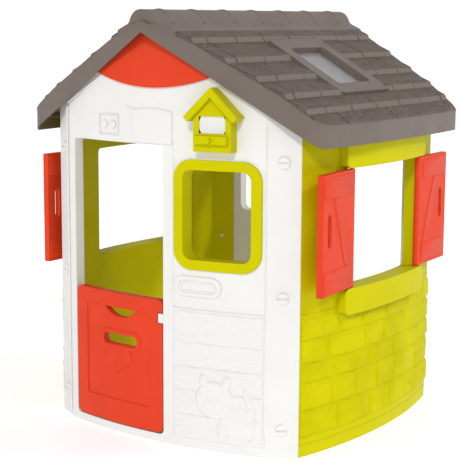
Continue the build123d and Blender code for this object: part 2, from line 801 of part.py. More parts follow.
with BuildPart() as front_gable_piece:
    add(gable_piece(0))
    with BuildPart(mode=Mode.PRIVATE) as gable_space:
        add(gable_piece(gable_skin))
    add(gable_space.part, mode=Mode.SUBTRACT)

with BuildPart() as rear_gable_piece:
    add(front_gable_piece.part.rotate(Axis.Z, 180))

# ---- front window frame ----
with BuildPart() as front_window_frame:
    add(front_block(front_window_x, front_window_z, front_window_width + 2 * frame_face,
                    front_window_height + 2 * frame_face, frame_radius))
    add(front_layer(frame_proud, -plate_gap), mode=Mode.INTERSECT)
    with BuildPart(mode=Mode.PRIVATE) as sleeve:
        add(front_block(front_window_x, front_window_z, front_window_width + 2 * frame_sleeve,
                        front_window_height + 2 * frame_sleeve, front_window_radius + frame_sleeve))
        add(front_layer(frame_proud, wall_depth + frame_sleeve), mode=Mode.INTERSECT)
    add(sleeve.part)
    add(front_block(front_window_x, front_window_z, front_window_width, front_window_height, front_window_radius),
        mode=Mode.SUBTRACT)

# ---- door ----
leaf_mid_x = (leaf_left + leaf_right) / 2
leaf_mid_z = (leaf_top + leaf_bottom) / 2
leaf_width = leaf_right - leaf_left
leaf_height = leaf_top - leaf_bottom
hand_hole_radius = bow_radius(hand_hole_width / 2, hand_hole_drop)


def hand_hole(margin):
    """Hand hole with a flat top and a round bottom, widened by margin."""
    half = hand_hole_width / 2 + margin
    with BuildPart() as hole:
        with BuildSketch(Plane.XZ.offset(face_y - 130)):
            with BuildLine():
                Line((slot_x - half, leaf_panel_top + margin), (slot_x + half, leaf_panel_top + margin))
                ThreePointArc((slot_x - half, leaf_panel_top + margin),
                              (slot_x, leaf_panel_top - hand_hole_drop - margin),
                              (slot_x + half, leaf_panel_top + margin))
            make_face()
        extrude(amount=260)
    return hole.part


with BuildPart() as leaf_cavity:
    add(front_block(leaf_mid_x, leaf_mid_z - 2 * leaf_skin, leaf_width - 2 * leaf_skin, leaf_height + 2 * leaf_skin,
                    leaf_corner))
    add(front_layer(-leaf_panel_recess - leaf_skin, leaf_depth - leaf_skin), mode=Mode.INTERSECT)
    add(hand_hole(leaf_skin), mode=Mode.SUBTRACT)
    add(front_block(slot_x, slot_z, slot_width + 2 * leaf_skin, slot_height + 2 * leaf_skin,
                    slot_height / 2 + leaf_skin - 0.01), mode=Mode.SUBTRACT)
    add(front_block(leaf_right, catch_z, 2 * (catch_reach + 2 * catch_clearance),
                    catch_height + 2 * catch_clearance + 2 * leaf_skin, 3), mode=Mode.SUBTRACT)

with BuildPart() as door_leaf:
    add(front_block(leaf_mid_x, leaf_mid_z, leaf_width, leaf_height, leaf_corner))
    add(front_layer(0, leaf_depth), mode=Mode.INTERSECT)
    add(leaf_cavity.part, mode=Mode.SUBTRACT)
    with BuildPart(mode=Mode.PRIVATE) as panel:
        add(front_block(leaf_mid_x + 2, (leaf_panel_top + leaf_panel_bottom) / 2, leaf_width - 2 * leaf_panel_margin,
                        leaf_panel_top - leaf_panel_bottom, 4))
        add(front_layer(5, leaf_panel_recess), mode=Mode.INTERSECT)
    add(panel.part, mode=Mode.SUBTRACT)
    add(hand_hole(0), mode=Mode.SUBTRACT)
    add(front_block(slot_x, slot_z, slot_width, slot_height, slot_height / 2 - 0.01), mode=Mode.SUBTRACT)
    with BuildPart(mode=Mode.PRIVATE) as catch_recess:
        add(front_block(leaf_right, catch_z, 2 * (catch_reach + catch_clearance - leaf_gap_right),
                        catch_height + 2 * catch_clearance, 3))
        add(front_layer(5, catch_thickness + 1.5), mode=Mode.INTERSECT)
        add(front_block(leaf_right, catch_z, 2 * (catch_reach / 2 - leaf_gap_right),
                        catch_height + 2 * catch_clearance, 3))
    add(catch_recess.part, mode=Mode.SUBTRACT)
    for z in hinge_z:
        with BuildSketch(Plane.XY.offset(z - knuckle_half)):
            with Locations((hinge_x, hinge_y)):
                Circle(knuckle_radius)
            with Locations((hinge_x, hinge_y)):
                Rectangle(2 * knuckle_radius, hinge_back + leaf_skin / 2, align=(Align.CENTER, Align.MAX))
        extrude(amount=2 * knuckle_half)
        with Locations((hinge_x, hinge_y, z)):
            Cylinder(pin_radius + pin_gap, 4 * knuckle_half, mode=Mode.SUBTRACT)

with BuildPart() as door_hinge_pins:
    lug_span = knuckle_half + hinge_play + lug_height
    for z in hinge_z:
        with Locations((hinge_x, hinge_y, z - lug_span - 2)):
            Cylinder(pin_radius, 2 * lug_span + 2 + hinge_play / 2, align=(Align.CENTER, Align.CENTER, Align.MIN))
        with Locations((hinge_x, hinge_y, z + lug_span + hinge_play / 2)):
            Cylinder(knuckle_radius - 1, 3, align=(Align.CENTER, Align.CENTER, Align.MIN))

with BuildPart() as door_catch:
    add(front_block(door_right - catch_reach / 2 - plate_gap / 2, catch_z, catch_reach - plate_gap, catch_height, 3))
    add(front_layer(0, catch_thickness), mode=Mode.INTERSECT)
    with BuildPart(mode=Mode.PRIVATE) as catch_base:
        add(front_block(door_right + (door_rebate - 4) / 2, catch_z, door_rebate + 4 - 2 * plate_gap, catch_height,
                        3))
        add(front_layer(-catch_thickness - plate_gap, leaf_depth + 4), mode=Mode.INTERSECT)
        add(front_block(door_right - 2 - plate_gap, catch_z, 4 - plate_gap, catch_height, 1))
        add(front_layer(0, leaf_depth + 4), mode=Mode.INTERSECT)
    add(catch_base.part)

# ---- plates on the front wall ----
with BuildPart() as number_plate:
    with BuildSketch(Plane.XZ.offset(face_y - 50)):
        half = number_plate_width / 2
        top = number_plate_bottom + number_plate_side
        with Locations((number_plate_x, 0)):
            with BuildLine():
                Polyline((-half, top), (-half, number_plate_bottom), (half, number_plate_bottom), (half, top))
                ThreePointArc((half, top), (0, top + number_plate_rise), (-half, top))
            make_face()
    extrude(amount=200)
    add(front_layer(number_plate_thickness, -plate_gap), mode=Mode.INTERSECT)
    with BuildPart(mode=Mode.PRIVATE) as number_field_cut:
        add(front_block(number_plate_x, number_field_z, *number_field, 3))
        add(front_layer(2 * number_plate_thickness, -number_plate_thickness + field_depth), mode=Mode.INTERSECT)
    add(number_field_cut.part, mode=Mode.SUBTRACT)

with BuildPart() as name_plate:
    add(front_block(name_plate_x, name_plate_z, *name_plate_size, name_plate_size[1] / 2 - 0.01))
    add(front_layer(name_plate_thickness, -plate_gap), mode=Mode.INTERSECT)
    with BuildPart(mode=Mode.PRIVATE) as name_field_cut:
        add(front_block(name_plate_x, name_plate_z, *name_field_size, name_field_size[1] / 2 - 0.01))
        add(front_layer(2 * name_plate_thickness, -name_plate_thickness + field_depth), mode=Mode.INTERSECT)
    add(name_field_cut.part, mode=Mode.SUBTRACT)

# ---- bird house on the front wall, square to the bowed face at its middle ----
house_angle = asin(house_x / front_radius)
house_plane = Plane(origin=(house_x, front_face_y(house_x), 0), x_dir=(cos(house_angle), sin(house_angle), 0),
                    z_dir=(sin(house_angle), -cos(house_angle), 0))
roof_vertical = house_roof_thickness / cos(radians(45))
house_under_apex = house_apex - roof_vertical
wall_clear = front_layer(plate_gap, 2 * house_depth)


def house_prism(points, low, high):
    """Block square to the bird house's plane, from an outline in its width and height."""
    with BuildPart() as block:
        with BuildSketch(house_plane.offset(low)):
            with BuildLine():
                Polyline(*points, points[0])
            make_face()
        extrude(amount=high - low)
    return block.part


def house_outline(inset):
    """Five-sided outline of the bird house's body, moved inwards."""
    half = house_half - inset
    shoulder = house_under_apex - plate_gap - house_half - inset * 0.4
    return [(-half, house_bottom + inset), (half, house_bottom + inset), (half, shoulder),
            (0, shoulder + half), (-half, shoulder)]


window_half = house_window[0] / 2
window_low = house_window_z - house_window[1] / 2
window_high = house_window_z + house_window[1] / 2
with BuildPart() as bird_house_body:
    add(house_prism(house_outline(0), -10, house_depth))
    add(house_prism(house_outline(house_skin), -20, house_depth - house_skin), mode=Mode.SUBTRACT)
    add(house_prism([(-ledge_width / 2, ledge_bottom), (ledge_width / 2, ledge_bottom),
                     (ledge_width / 2, ledge_top), (-ledge_width / 2, ledge_top)],
                    house_depth - house_skin, ledge_depth))
    add(house_prism([(-window_half, window_low), (window_half, window_low), (window_half, window_high),
                     (-window_half, window_high)], house_depth - 2 * house_skin, 2 * ledge_depth),
        mode=Mode.SUBTRACT)
    add(wall_clear, mode=Mode.SUBTRACT)

with BuildPart() as bird_house_roof:
    end_x = house_roof_half - house_roof_thickness * sin(radians(45))
    end_z = house_apex - house_roof_half - house_roof_thickness * sin(radians(45))
    outer_z = house_apex - house_roof_half
    add(house_prism([(0, house_apex), (house_roof_half, outer_z), (end_x, end_z), (0, house_under_apex),
                     (-end_x, end_z), (-house_roof_half, outer_z)], -10, house_roof_depth))
    add(wall_clear, mode=Mode.SUBTRACT)

with BuildPart() as bird_house_cover:
    with BuildSketch(house_plane.offset(house_depth - house_skin - plate_gap - cover_thickness)):
        with Locations((0, house_window_z)):
            Circle(cover_radius)
    extrude(amount=cover_thickness)

with BuildPart() as bird_house_perch:
    with BuildSketch(house_plane.offset(ledge_depth + plate_gap / 2)):
        with Locations((0, (ledge_bottom + ledge_top) / 2)):
            Circle(perch_radius)
    extrude(amount=perch_length)

# ---- labels and files ----
os.makedirs("parts", exist_ok=True)
pieces = {
    "front_wall": front_wall,
    "rear_wall": rear_wall,
    "right_wall": right_wall,
    "left_wall": left_wall,
    "right_window_sill": right_window_sill,
    "right_window_head": right_window_head,
    "left_window_sill": left_window_sill,
    "left_window_head": left_window_head,
    "right_front_shutter": right_front_shutter,
    "right_rear_shutter": right_rear_shutter,
    "left_front_shutter": left_front_shutter,
    "left_rear_shutter": left_rear_shutter,
    "roof_right": roof_right,
    "roof_left": roof_left,
    "right_roof_pane": right_roof_pane,
    "left_roof_pane": left_roof_pane,
    "ridge_roll": ridge_roll,
    "front_corner_screws": front_corner_screws,
    "rear_corner_screws": rear_corner_screws,
    "right_roof_screws": right_roof_screws,
    "left_roof_screws": left_roof_screws,
    "front_gable_piece": front_gable_piece,
    "rear_gable_piece": rear_gable_piece,
    "front_window_frame": front_window_frame,
    "door_leaf": door_leaf,
    "door_hinge_pins": door_hinge_pins,
    "door_catch": door_catch,
    "number_plate": number_plate,
    "name_plate": name_plate,
    "bird_house_body": bird_house_body,
    "bird_house_roof": bird_house_roof,
    "bird_house_cover": bird_house_cover,
    "bird_house_perch": bird_house_perch,
}
for label, piece in pieces.items():
    piece.part.label = label
    export_step(piece.part, f"parts/{label}.step")
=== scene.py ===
"""Plastic playhouse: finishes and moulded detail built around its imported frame."""

from __future__ import annotations

import json
import logging
import math
from dataclasses import dataclass, field
from enum import Enum
from typing import Callable, Sequence

import bmesh
import bpy
import numpy as np
from mathutils import Matrix, Vector

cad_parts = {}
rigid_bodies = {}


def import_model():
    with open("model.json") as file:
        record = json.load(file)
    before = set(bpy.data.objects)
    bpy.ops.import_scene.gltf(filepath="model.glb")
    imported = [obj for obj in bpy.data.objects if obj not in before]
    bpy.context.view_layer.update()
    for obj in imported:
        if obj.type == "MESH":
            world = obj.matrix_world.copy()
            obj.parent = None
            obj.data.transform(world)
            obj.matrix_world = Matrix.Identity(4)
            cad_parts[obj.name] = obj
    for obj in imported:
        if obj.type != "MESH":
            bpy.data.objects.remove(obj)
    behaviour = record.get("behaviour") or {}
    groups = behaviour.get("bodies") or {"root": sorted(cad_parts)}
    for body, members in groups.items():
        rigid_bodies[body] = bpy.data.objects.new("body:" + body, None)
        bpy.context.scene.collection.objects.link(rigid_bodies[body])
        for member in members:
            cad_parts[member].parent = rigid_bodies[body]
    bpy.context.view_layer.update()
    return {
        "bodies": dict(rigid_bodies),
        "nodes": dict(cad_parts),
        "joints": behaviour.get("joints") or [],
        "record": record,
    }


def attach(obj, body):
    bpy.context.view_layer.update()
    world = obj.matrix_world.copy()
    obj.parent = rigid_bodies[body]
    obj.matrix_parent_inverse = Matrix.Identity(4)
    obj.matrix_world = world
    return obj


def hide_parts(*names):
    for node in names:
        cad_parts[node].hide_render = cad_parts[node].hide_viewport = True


LOG = logging.getLogger("playhouse")
MM = 0.001
HOUSE = "house"
LATTICE = 97
Point = tuple[float, float, float]
Place = tuple[float, float]


# ---------------------------------------------------------------- small helpers
def linear(hex_colour: str) -> tuple[float, float, float, float]:
    """Turn an sRGB hex colour into linear RGBA.

    Args:
        hex_colour: six hex digits after a #.

    Returns:
        Linear red, green, blue and an alpha of one.
    """
    channels = [int(hex_colour[i:i + 2], 16) / 255 for i in (1, 3, 5)]
    values = [c / 12.92 if c <= 0.04045 else ((c + 0.055) / 1.055) ** 2.4 for c in channels]
    return values[0], values[1], values[2], 1.0


def add_node(tree: bpy.types.NodeTree, kind: str, settings: dict | None = None,
             links: dict | None = None) -> bpy.types.Node:
    """Add a node with its settings and links.

    Args:
        tree: tree that gets the node.
        kind: Blender's name of the node type.
        settings: attribute names, or input names or numbers, with their values.
        links: input names or numbers with the output sockets that feed them.

    Returns:
        The new node.
    """
    node = tree.nodes.new(kind)
    for key, value in (settings or {}).items():
        if isinstance(key, str) and hasattr(node, key):
            setattr(node, key, value)
        else:
            node.inputs[key].default_value = value
    for key, socket in (links or {}).items():
        tree.links.new(socket, node.inputs[key])
    return node


def lattice_noise(u: np.ndarray, v: np.ndarray, seed: int) -> np.ndarray:
    """Smooth noise from 0 to 1 on a unit lattice.

    Args:
        u: first coordinate, in lattice steps.
        v: second coordinate, in lattice steps.
        seed: fixed seed of the lattice.

    Returns:
        One value for each point.
    """
    table = np.random.default_rng(seed).random((LATTICE, LATTICE))
    iu, iv = np.floor(u).astype(int), np.floor(v).astype(int)
    fu, fv = u - iu, v - iv
    fu, fv = fu * fu * (3 - 2 * fu), fv * fv * (3 - 2 * fv)

    def corner(du: int, dv: int) -> np.ndarray:
        """Lattice values at one corner of every cell."""
        return table[(iu + du) % LATTICE, (iv + dv) % LATTICE]

    low = corner(0, 0) * (1 - fu) + corner(1, 0) * fu
    high = corner(0, 1) * (1 - fu) + corner(1, 1) * fu
    return low * (1 - fv) + high * fv


def smoothstep(edge_a: float, edge_b: float, value: np.ndarray) -> np.ndarray:
    """Smooth ramp from 0 at edge_a to 1 at edge_b.

    Args:
        edge_a: where it starts.
        edge_b: where it ends.
        value: values to map.

    Returns:
        One value for each.
    """
    t = np.clip((value - edge_a) / (edge_b - edge_a), 0, 1)
    return t * t * (3 - 2 * t)


def make_piece(name: str, points: Sequence, faces: Sequence, finish: bpy.types.Material,
               sharp: float = 40.0) -> bpy.types.Object:
    """Make a closed mesh piece from points in millimetres.

    Args:
        name: the piece's name.
        points: vertex positions in millimetres.
        faces: vertex numbers of each face.
        finish: the piece's material.
        sharp: edges over this angle in degrees stay sharp.

    Returns:
        The new object, at the origin.
    """
    mesh = bpy.data.meshes.new(name)
    mesh.from_pydata((np.asarray(points, float) * MM).tolist(), [], [list(f) for f in faces])
    return finish_mesh(name, mesh, finish, sharp)


def finish_mesh(name: str, mesh: bpy.types.Mesh, finish: bpy.types.Material,
                sharp: float = 40.0) -> bpy.types.Object:
    """Turn a mesh's faces outwards, shade it and put it in the scene.

    Args:
        name: the piece's name.
        mesh: mesh in metres.
        finish: the piece's material.
        sharp: edges over this angle in degrees stay sharp.

    Returns:
        The new object.
    """
    work = bmesh.new()
    work.from_mesh(mesh)
    bmesh.ops.recalc_face_normals(work, faces=work.faces[:])
    work.to_mesh(mesh)
    work.free()
    mesh.polygons.foreach_set("use_smooth", [True] * len(mesh.polygons))
    mesh.set_sharp_from_angle(angle=math.radians(sharp))
    mesh.materials.clear()
    mesh.materials.append(finish)
    piece = bpy.data.objects.new(name, mesh)
    bpy.context.scene.collection.objects.link(piece)
    return piece


def plain_copy(source: bpy.types.Object) -> bpy.types.Mesh:
    """Mesh of an object as its modifiers leave it.

    Args:
        source: object whose modifiers are applied.

    Returns:
        A new mesh.
    """
    graph = bpy.context.evaluated_depsgraph_get()
    graph.update()
    return bpy.data.meshes.new_from_object(source.evaluated_get(graph))


def merged(name: str, parts: Sequence[bpy.types.Object], finish: bpy.types.Material,
           sharp: float = 40.0) -> bpy.types.Object:
    """Join several objects into one new piece and remove them.

    Args:
        name: the new piece's name.
        parts: objects to join.
        finish: the piece's material.
        sharp: edges over this angle in degrees stay sharp.

    Returns:
        The joined object.
    """
    work = bmesh.new()
    for part in parts:
        work.from_mesh(part.data)
        bpy.data.objects.remove(part)
    mesh = bpy.data.meshes.new(name)
    work.to_mesh(mesh)
    work.free()
    return finish_mesh(name, mesh, finish, sharp)


def turned(name: str, piece: bpy.types.Object, mirror: bool = False) -> bpy.types.Object:
    """Copy of a piece for the other side of the house.

    Args:
        name: the copy's name.
        piece: the piece to copy.
        mirror: mirror it left to right instead of turning it half a turn.

    Returns:
        The new object, with its faces outwards.
    """
    mesh = piece.data.copy()
    mesh.name = name
    mesh.transform(Matrix.Scale(-1, 4, (1, 0, 0)) if mirror else Matrix.Rotation(math.pi, 4, "Z"))
    finish = piece.data.materials[0]
    return finish_mesh(name, mesh, finish)


def report(piece: bpy.types.Object, body: str) -> None:
    """Fix a piece to its body and log it.

    Args:
        piece: the new piece.
        body: body it rides on.
    """
    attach(piece, body)
    LOG.info("%s rides on %s, %d faces", piece.name, body, len(piece.data.polygons))


# ---------------------------------------------------------------- finishes
class Grain(Enum):
    """Direction of moulded wood grain on a plastic surface."""

    NONE = (1.0, 1.0, 1.0)
    ALONG_X = (0.07, 1.0, 1.0)
    ALONG_Z = (1.0, 1.0, 0.07)


@dataclass(frozen=True)
class MouldedPlastic:
    """Moulded polyethylene: soft broad sheen over a faint orange peel, colour all through."""

    name: str
    colour: str
    shade: str
    roughness: float = 0.42
    peel_mm: float = 3.0
    peel_height_mm: float = 0.06
    grain: Grain = Grain.NONE
    grain_mm: float = 5.0
    grain_height_mm: float = 0.0
    drift: float = 0.35
    gloss: float = 0.12
    edge_mm: float = 2.0
    # colour of a painted highlight on faces that look across the house; empty for none
    riser_highlight: str = ""
    cloud_mm: float = 120.0

    def build(self) -> bpy.types.Material:
        """Build the material's node tree and return the material.

        Returns:
            The new material.
        """
        material = bpy.data.materials.new(self.name)
        material.use_nodes = True
        tree = material.node_tree
        tree.nodes.clear()
        place = add_node(tree, "ShaderNodeTexCoord").outputs["Object"]
        cloud = add_node(tree, "ShaderNodeTexNoise", {"Scale": 1 / (self.cloud_mm * MM), "Detail": 2.0},
                         {"Vector": place})
        stretch = add_node(tree, "ShaderNodeMapping", {"Scale": self.grain.value}, {"Vector": place})
        fibre = add_node(tree, "ShaderNodeTexNoise",
                         {"Scale": 1 / (self.grain_mm * MM), "Detail": 3.0, "Roughness": 0.6},
                         {"Vector": stretch.outputs[0]})
        mask = cloud if self.grain is Grain.NONE else fibre
        spread = add_node(tree, "ShaderNodeMapRange",
                          {"From Min": 0.35, "From Max": 0.65, "To Min": 0.0, "To Max": self.drift},
                          {"Value": mask.outputs["Fac"]})
        tint = add_node(tree, "ShaderNodeMix",
                        {"data_type": "RGBA", 6: linear(self.colour), 7: linear(self.shade)},
                        {0: spread.outputs[0]})
        # painted highlight: faces that look across the house, the tile risers, get the paler colour
        if self.riser_highlight:
            facing = add_node(tree, "ShaderNodeSeparateXYZ", None,
                              {"Vector": add_node(tree, "ShaderNodeTexCoord").outputs["Normal"]})
            steep = add_node(tree, "ShaderNodeMath", {"operation": "ABSOLUTE"}, {0: facing.outputs["X"]})
            riser = add_node(tree, "ShaderNodeMapRange", {"From Min": 0.66, "From Max": 0.8},
                             {"Value": steep.outputs[0]})
            tint = add_node(tree, "ShaderNodeMix", {"data_type": "RGBA", 7: linear(self.riser_highlight)},
                            {0: riser.outputs[0], 6: tint.outputs[2]})
        peel = add_node(tree, "ShaderNodeTexNoise", {"Scale": 1 / (self.peel_mm * MM), "Detail": 2.0},
                        {"Vector": place})
        eased = add_node(tree, "ShaderNodeBevel", {"samples": 4, "Radius": self.edge_mm * MM})
        skin = add_node(tree, "ShaderNodeBump", {"Strength": 1.0, "Distance": self.peel_height_mm * MM},
                        {"Height": peel.outputs["Fac"], "Normal": eased.outputs[0]})
        ridged = add_node(tree, "ShaderNodeBump", {"Strength": 1.0, "Distance": self.grain_height_mm * MM},
                          {"Height": fibre.outputs["Fac"], "Normal": skin.outputs[0]})
        rough = add_node(tree, "ShaderNodeMapRange",
                         {"From Min": 0.3, "From Max": 0.7, "To Min": self.roughness - 0.05,
                          "To Max": self.roughness + 0.06}, {"Value": cloud.outputs["Fac"]})
        shader = add_node(tree, "ShaderNodeBsdfPrincipled", {"IOR": 1.5, "Specular IOR Level": self.gloss},
                          {"Base Color": tint.outputs[2], "Roughness": rough.outputs[0],
                           "Normal": ridged.outputs[0]})
        add_node(tree, "ShaderNodeOutputMaterial", None, {"Surface": shader.outputs[0]})
        return material


@dataclass(frozen=True)
class FrostedSheet:
    """Clear polystyrene sheet with a light frosting that blurs what is behind it."""

    name: str
    colour: str
    roughness: float
    clearness: float
    frost_mm: float = 4.0
    frost_height_mm: float = 0.2

    def build(self) -> bpy.types.Material:
        """Build the material's node tree and return the material.

        Returns:
            The new material.
        """
        material = bpy.data.materials.new(self.name)
        material.use_nodes = True
        tree = material.node_tree
        tree.nodes.clear()
        place = add_node(tree, "ShaderNodeTexCoord").outputs["Object"]
        frost = add_node(tree, "ShaderNodeTexNoise", {"Scale": 1 / (self.frost_mm * MM), "Detail": 3.0},
                         {"Vector": place})
        bump = add_node(tree, "ShaderNodeBump", {"Strength": 0.4, "Distance": self.frost_height_mm * MM},
                        {"Height": frost.outputs["Fac"]})
        shader = add_node(tree, "ShaderNodeBsdfPrincipled",
                          {"Base Color": linear(self.colour), "Roughness": self.roughness, "IOR": 1.3,
                           "Transmission Weight": self.clearness}, {"Normal": bump.outputs[0]})
        add_node(tree, "ShaderNodeOutputMaterial", None, {"Surface": shader.outputs[0]})
        return material


@dataclass
class Finishes:
    """Every finish of the house, built once."""

    white: bpy.types.Material = field(init=False)
    planks: bpy.types.Material = field(init=False)
    lime: bpy.types.Material = field(init=False)
    stone: bpy.types.Material = field(init=False)
    red: bpy.types.Material = field(init=False)
    boards: bpy.types.Material = field(init=False)
    slate: bpy.types.Material = field(init=False)
    tiles: bpy.types.Material = field(init=False)
    clear: bpy.types.Material = field(init=False)
    milky: bpy.types.Material = field(init=False)

    def __post_init__(self) -> None:
        """Build the materials."""
        # blow-moulded polyethylene, polished mould: even, a soft wide sheen
        self.white = MouldedPlastic("white_polyethylene", "#E2E1DE", "#DAD9D6", 0.45).build()
        # the same with wood grain cut in the mould: fine lines that run across, drawn coarser than real
        self.planks = MouldedPlastic("white_polyethylene_grained", "#E2E1DE", "#D6D5D2", 0.5,
                                     grain=Grain.ALONG_X, grain_mm=5.0, grain_height_mm=1.4, drift=0.4,
                                     edge_mm=0.8).build()
        # pigmented all through: strong colour with hardly any mirror-like light
        self.lime = MouldedPlastic("lime_polyethylene", "#C5BF00", "#BBB500", 0.42, gloss=0.04).build()
        # textured mould: a broken surface, darker patches where it turns away
        self.stone = MouldedPlastic("lime_polyethylene_rough", "#C6C000", "#ADA700", 0.5, peel_mm=7.0,
                                    peel_height_mm=0.9, drift=0.5, gloss=0.03, edge_mm=0.8).build()
        self.red = MouldedPlastic("red_polyethylene", "#DA4226", "#CF3A20", 0.4, gloss=0.07).build()
        # upright wood grain on the shutters' boards
        self.boards = MouldedPlastic("red_polyethylene_grained", "#DA4226", "#C9361C", 0.45,
                                     grain=Grain.ALONG_Z, grain_mm=4.0, grain_height_mm=0.45,
                                     edge_mm=1.0).build()
        # smooth boards and ridge: a little more sheen than the tiles
        self.slate = MouldedPlastic("taupe_polyethylene", "#6F645D", "#655B54", 0.42, gloss=0.25).build()
        # tiles: blotchy grain, and a painted highlight: the risers, which face across the house, are painted
        # paler
        self.tiles = MouldedPlastic("taupe_polyethylene_grained", "#6C615A", "#4C443E", 0.55,
                                    grain=Grain.ALONG_X, grain_mm=8.0, grain_height_mm=1.2, drift=0.9,
                                    edge_mm=1.0, riser_highlight="#746960").build()
        # injection-moulded polystyrene: lets daylight through, blurs what is behind
        self.clear = FrostedSheet("clear_polystyrene", "#E4E2E8", 0.35, 0.85).build()
        self.milky = FrostedSheet("milky_polystyrene", "#FAFBFB", 0.25, 0.3).build()


# ---------------------------------------------------------------- surfaces of the walls
@dataclass(frozen=True)
class Bow:
    """Upright bowed wall face: along it, up it and proud of it, in millimetres."""

    radius: float
    centre: float
    facing_front: bool

    def place(self, along: np.ndarray, height: np.ndarray, proud: np.ndarray) -> np.ndarray:
        """Points on the face, from the distance across the house, the height and the rise over the face.

        Args:
            along: distance across the wall.
            height: height over the ground.
            proud: rise over the face.

        Returns:
            One point for each, in millimetres.
        """
        angle = np.arcsin(along / self.radius)
        reach = self.radius + proud
        across, out = reach * np.sin(angle), reach * np.cos(angle)
        if self.facing_front:
            return np.stack([across, self.centre - out, height + 0 * across], axis=-1)
        return np.stack([self.centre + out, across, height + 0 * across], axis=-1)


def bow_of(half_chord: float, rise: float, edge: float, front: bool) -> Bow:
    """Bow from half its chord, its rise and where the ends of the chord lie.

    Args:
        half_chord: half the chord.
        rise: how far the middle stands out over the ends.
        edge: where the ends of the chord lie.
        front: true for the front wall.

    Returns:
        The bow.
    """
    radius = (half_chord ** 2 + rise ** 2) / (2 * rise)
    centre = radius - edge - rise if front else edge + rise - radius
    return Bow(radius, centre, front)


WALL_RISE = 56.0
FRONT = bow_of(380.0, WALL_RISE, 485.0, True)
SIDE = bow_of(429.0, WALL_RISE, 470.0, False)


def relief(name: str, bow: Bow, along: np.ndarray, height: np.ndarray,
           rise: Callable[[np.ndarray, np.ndarray], np.ndarray], finish: bpy.types.Material,
           back: float = -1.0) -> bpy.types.Object:
    """Closed sheet on a bowed wall whose front follows a height function.

    Args:
        name: the piece's name.
        bow: wall face it lies on.
        along: positions across the wall.
        height: heights over the ground.
        rise: gives how proud each point is.
        finish: the piece's material.
        back: how proud the back is, less than nothing being inside the wall.

    Returns:
        The new piece.
    """
    across, up = np.meshgrid(along, height)
    outer = bow.place(across, up, rise(across, up)).reshape(-1, 3)
    inner = bow.place(across, up, np.full_like(across, back)).reshape(-1, 3)
    rows, cols = across.shape
    number = np.arange(rows * cols).reshape(rows, cols)
    quads = np.stack([number[:-1, :-1], number[:-1, 1:], number[1:, 1:], number[1:, :-1]], axis=-1)
    quads = quads.reshape(-1, 4)
    ring = np.concatenate([number[0, :-1], number[:-1, -1], number[-1, :0:-1], number[:0:-1, 0]])
    rim = np.stack([ring, np.roll(ring, -1), np.roll(ring, -1) + rows * cols, ring + rows * cols], axis=-1)
    faces = np.concatenate([quads, quads[:, ::-1] + rows * cols, rim])
    return make_piece(name, np.concatenate([outer, inner]), faces.tolist(), finish, 50.0)


def bead(name: str, path: np.ndarray, radius: float, finish: bpy.types.Material,
         closed: bool = False) -> bpy.types.Object:
    """Round moulded bead along a path in millimetres.

    Args:
        name: the piece's name.
        path: points of its centre line.
        radius: radius of the bead.
        finish: its material.
        closed: joins the last point to the first.

    Returns:
        The bead as a plain mesh.
    """
    curve = bpy.data.curves.new(name, "CURVE")
    curve.dimensions = "3D"
    curve.bevel_depth = radius * MM
    curve.bevel_resolution = 3
    curve.use_fill_caps = True
    line = curve.splines.new("POLY")
    line.points.add(len(path) - 1)
    for point, place in zip(line.points, path):
        point.co = (*(float(v) * MM for v in place), 1.0)
    line.use_cyclic_u = closed
    holder = bpy.data.objects.new(name, curve)
    bpy.context.scene.collection.objects.link(holder)
    mesh = plain_copy(holder)
    bpy.data.objects.remove(holder)
    return finish_mesh(name, mesh, finish)


def rounded_outline(width: float, height: float, radius: float, steps: int = 6) -> list[Place]:
    """Closed outline of a rectangle with round corners about the origin.

    Args:
        width: its width.
        height: its height.
        radius: radius of the corners.
        steps: steps in each corner.

    Returns:
        Points across and up, counter-clockwise.
    """
    points = []
    for corner, (sx, sy) in enumerate(((1, 1), (-1, 1), (-1, -1), (1, -1))):
        for step in range(steps + 1):
            angle = math.pi / 2 * (corner + step / steps)
            points.append((sx * (width / 2 - radius) + radius * math.cos(angle),
                           sy * (height / 2 - radius) + radius * math.sin(angle)))
    return points


def loft_faces(count: int, levels: int, capped: bool = True, looped: bool = False) -> list[list[int]]:
    """Faces over a stack of rings of points.

    Args:
        count: points in each ring.
        levels: number of rings.
        capped: fills the first and the last ring.
        looped: joins the last ring to the first.

    Returns:
        Point numbers of each face.
    """
    last = (levels - 1) * count
    faces = [[*range(count)], [*range(last, last + count)][::-1]] if capped else []
    for level in range(levels if looped else levels - 1):
        here, after = level * count, (level + 1) % levels * count
        faces += [[here + i, here + (i + 1) % count, after + (i + 1) % count, after + i]
                  for i in range(count)]
    return faces


def raised_shape(name: str, bow: Bow, outline: Sequence[Place], levels: Sequence[Place],
                 finish: bpy.types.Material) -> bpy.types.Object:
    """Raised shape on a bowed wall, with a rounded edge.

    Args:
        name: the piece's name.
        bow: wall face it lies on.
        outline: its outline, across and up, counter-clockwise.
        levels: inset and rise of each ring, from the wall outwards; the last ring is filled.
        finish: its material.

    Returns:
        The new piece.
    """
    rim = np.asarray(outline, float)
    before, after = np.roll(rim, 1, axis=0), np.roll(rim, -1, axis=0)
    tangent = after - before
    tangent /= np.linalg.norm(tangent, axis=1)[:, None]
    inward = np.stack([-tangent[:, 1], tangent[:, 0]], axis=1)
    rings = []
    for inset, rise in levels:
        ring = rim + inward * inset
        rings.append(bow.place(ring[:, 0], ring[:, 1], np.full(len(ring), rise)))
    return make_piece(name, np.concatenate(rings), loft_faces(len(rim), len(rings)), finish, 50.0)


# ---------------------------------------------------------------- roof
class RowInput(Enum):
    """Named inputs of the tile row's node tree."""

    COUNT = "Count"
    START = "Start"
    PITCH = "Pitch"
    PLAY = "Play"
    SEED = "Seed"
    TILE = "Tile"
    FINISH = "Finish"


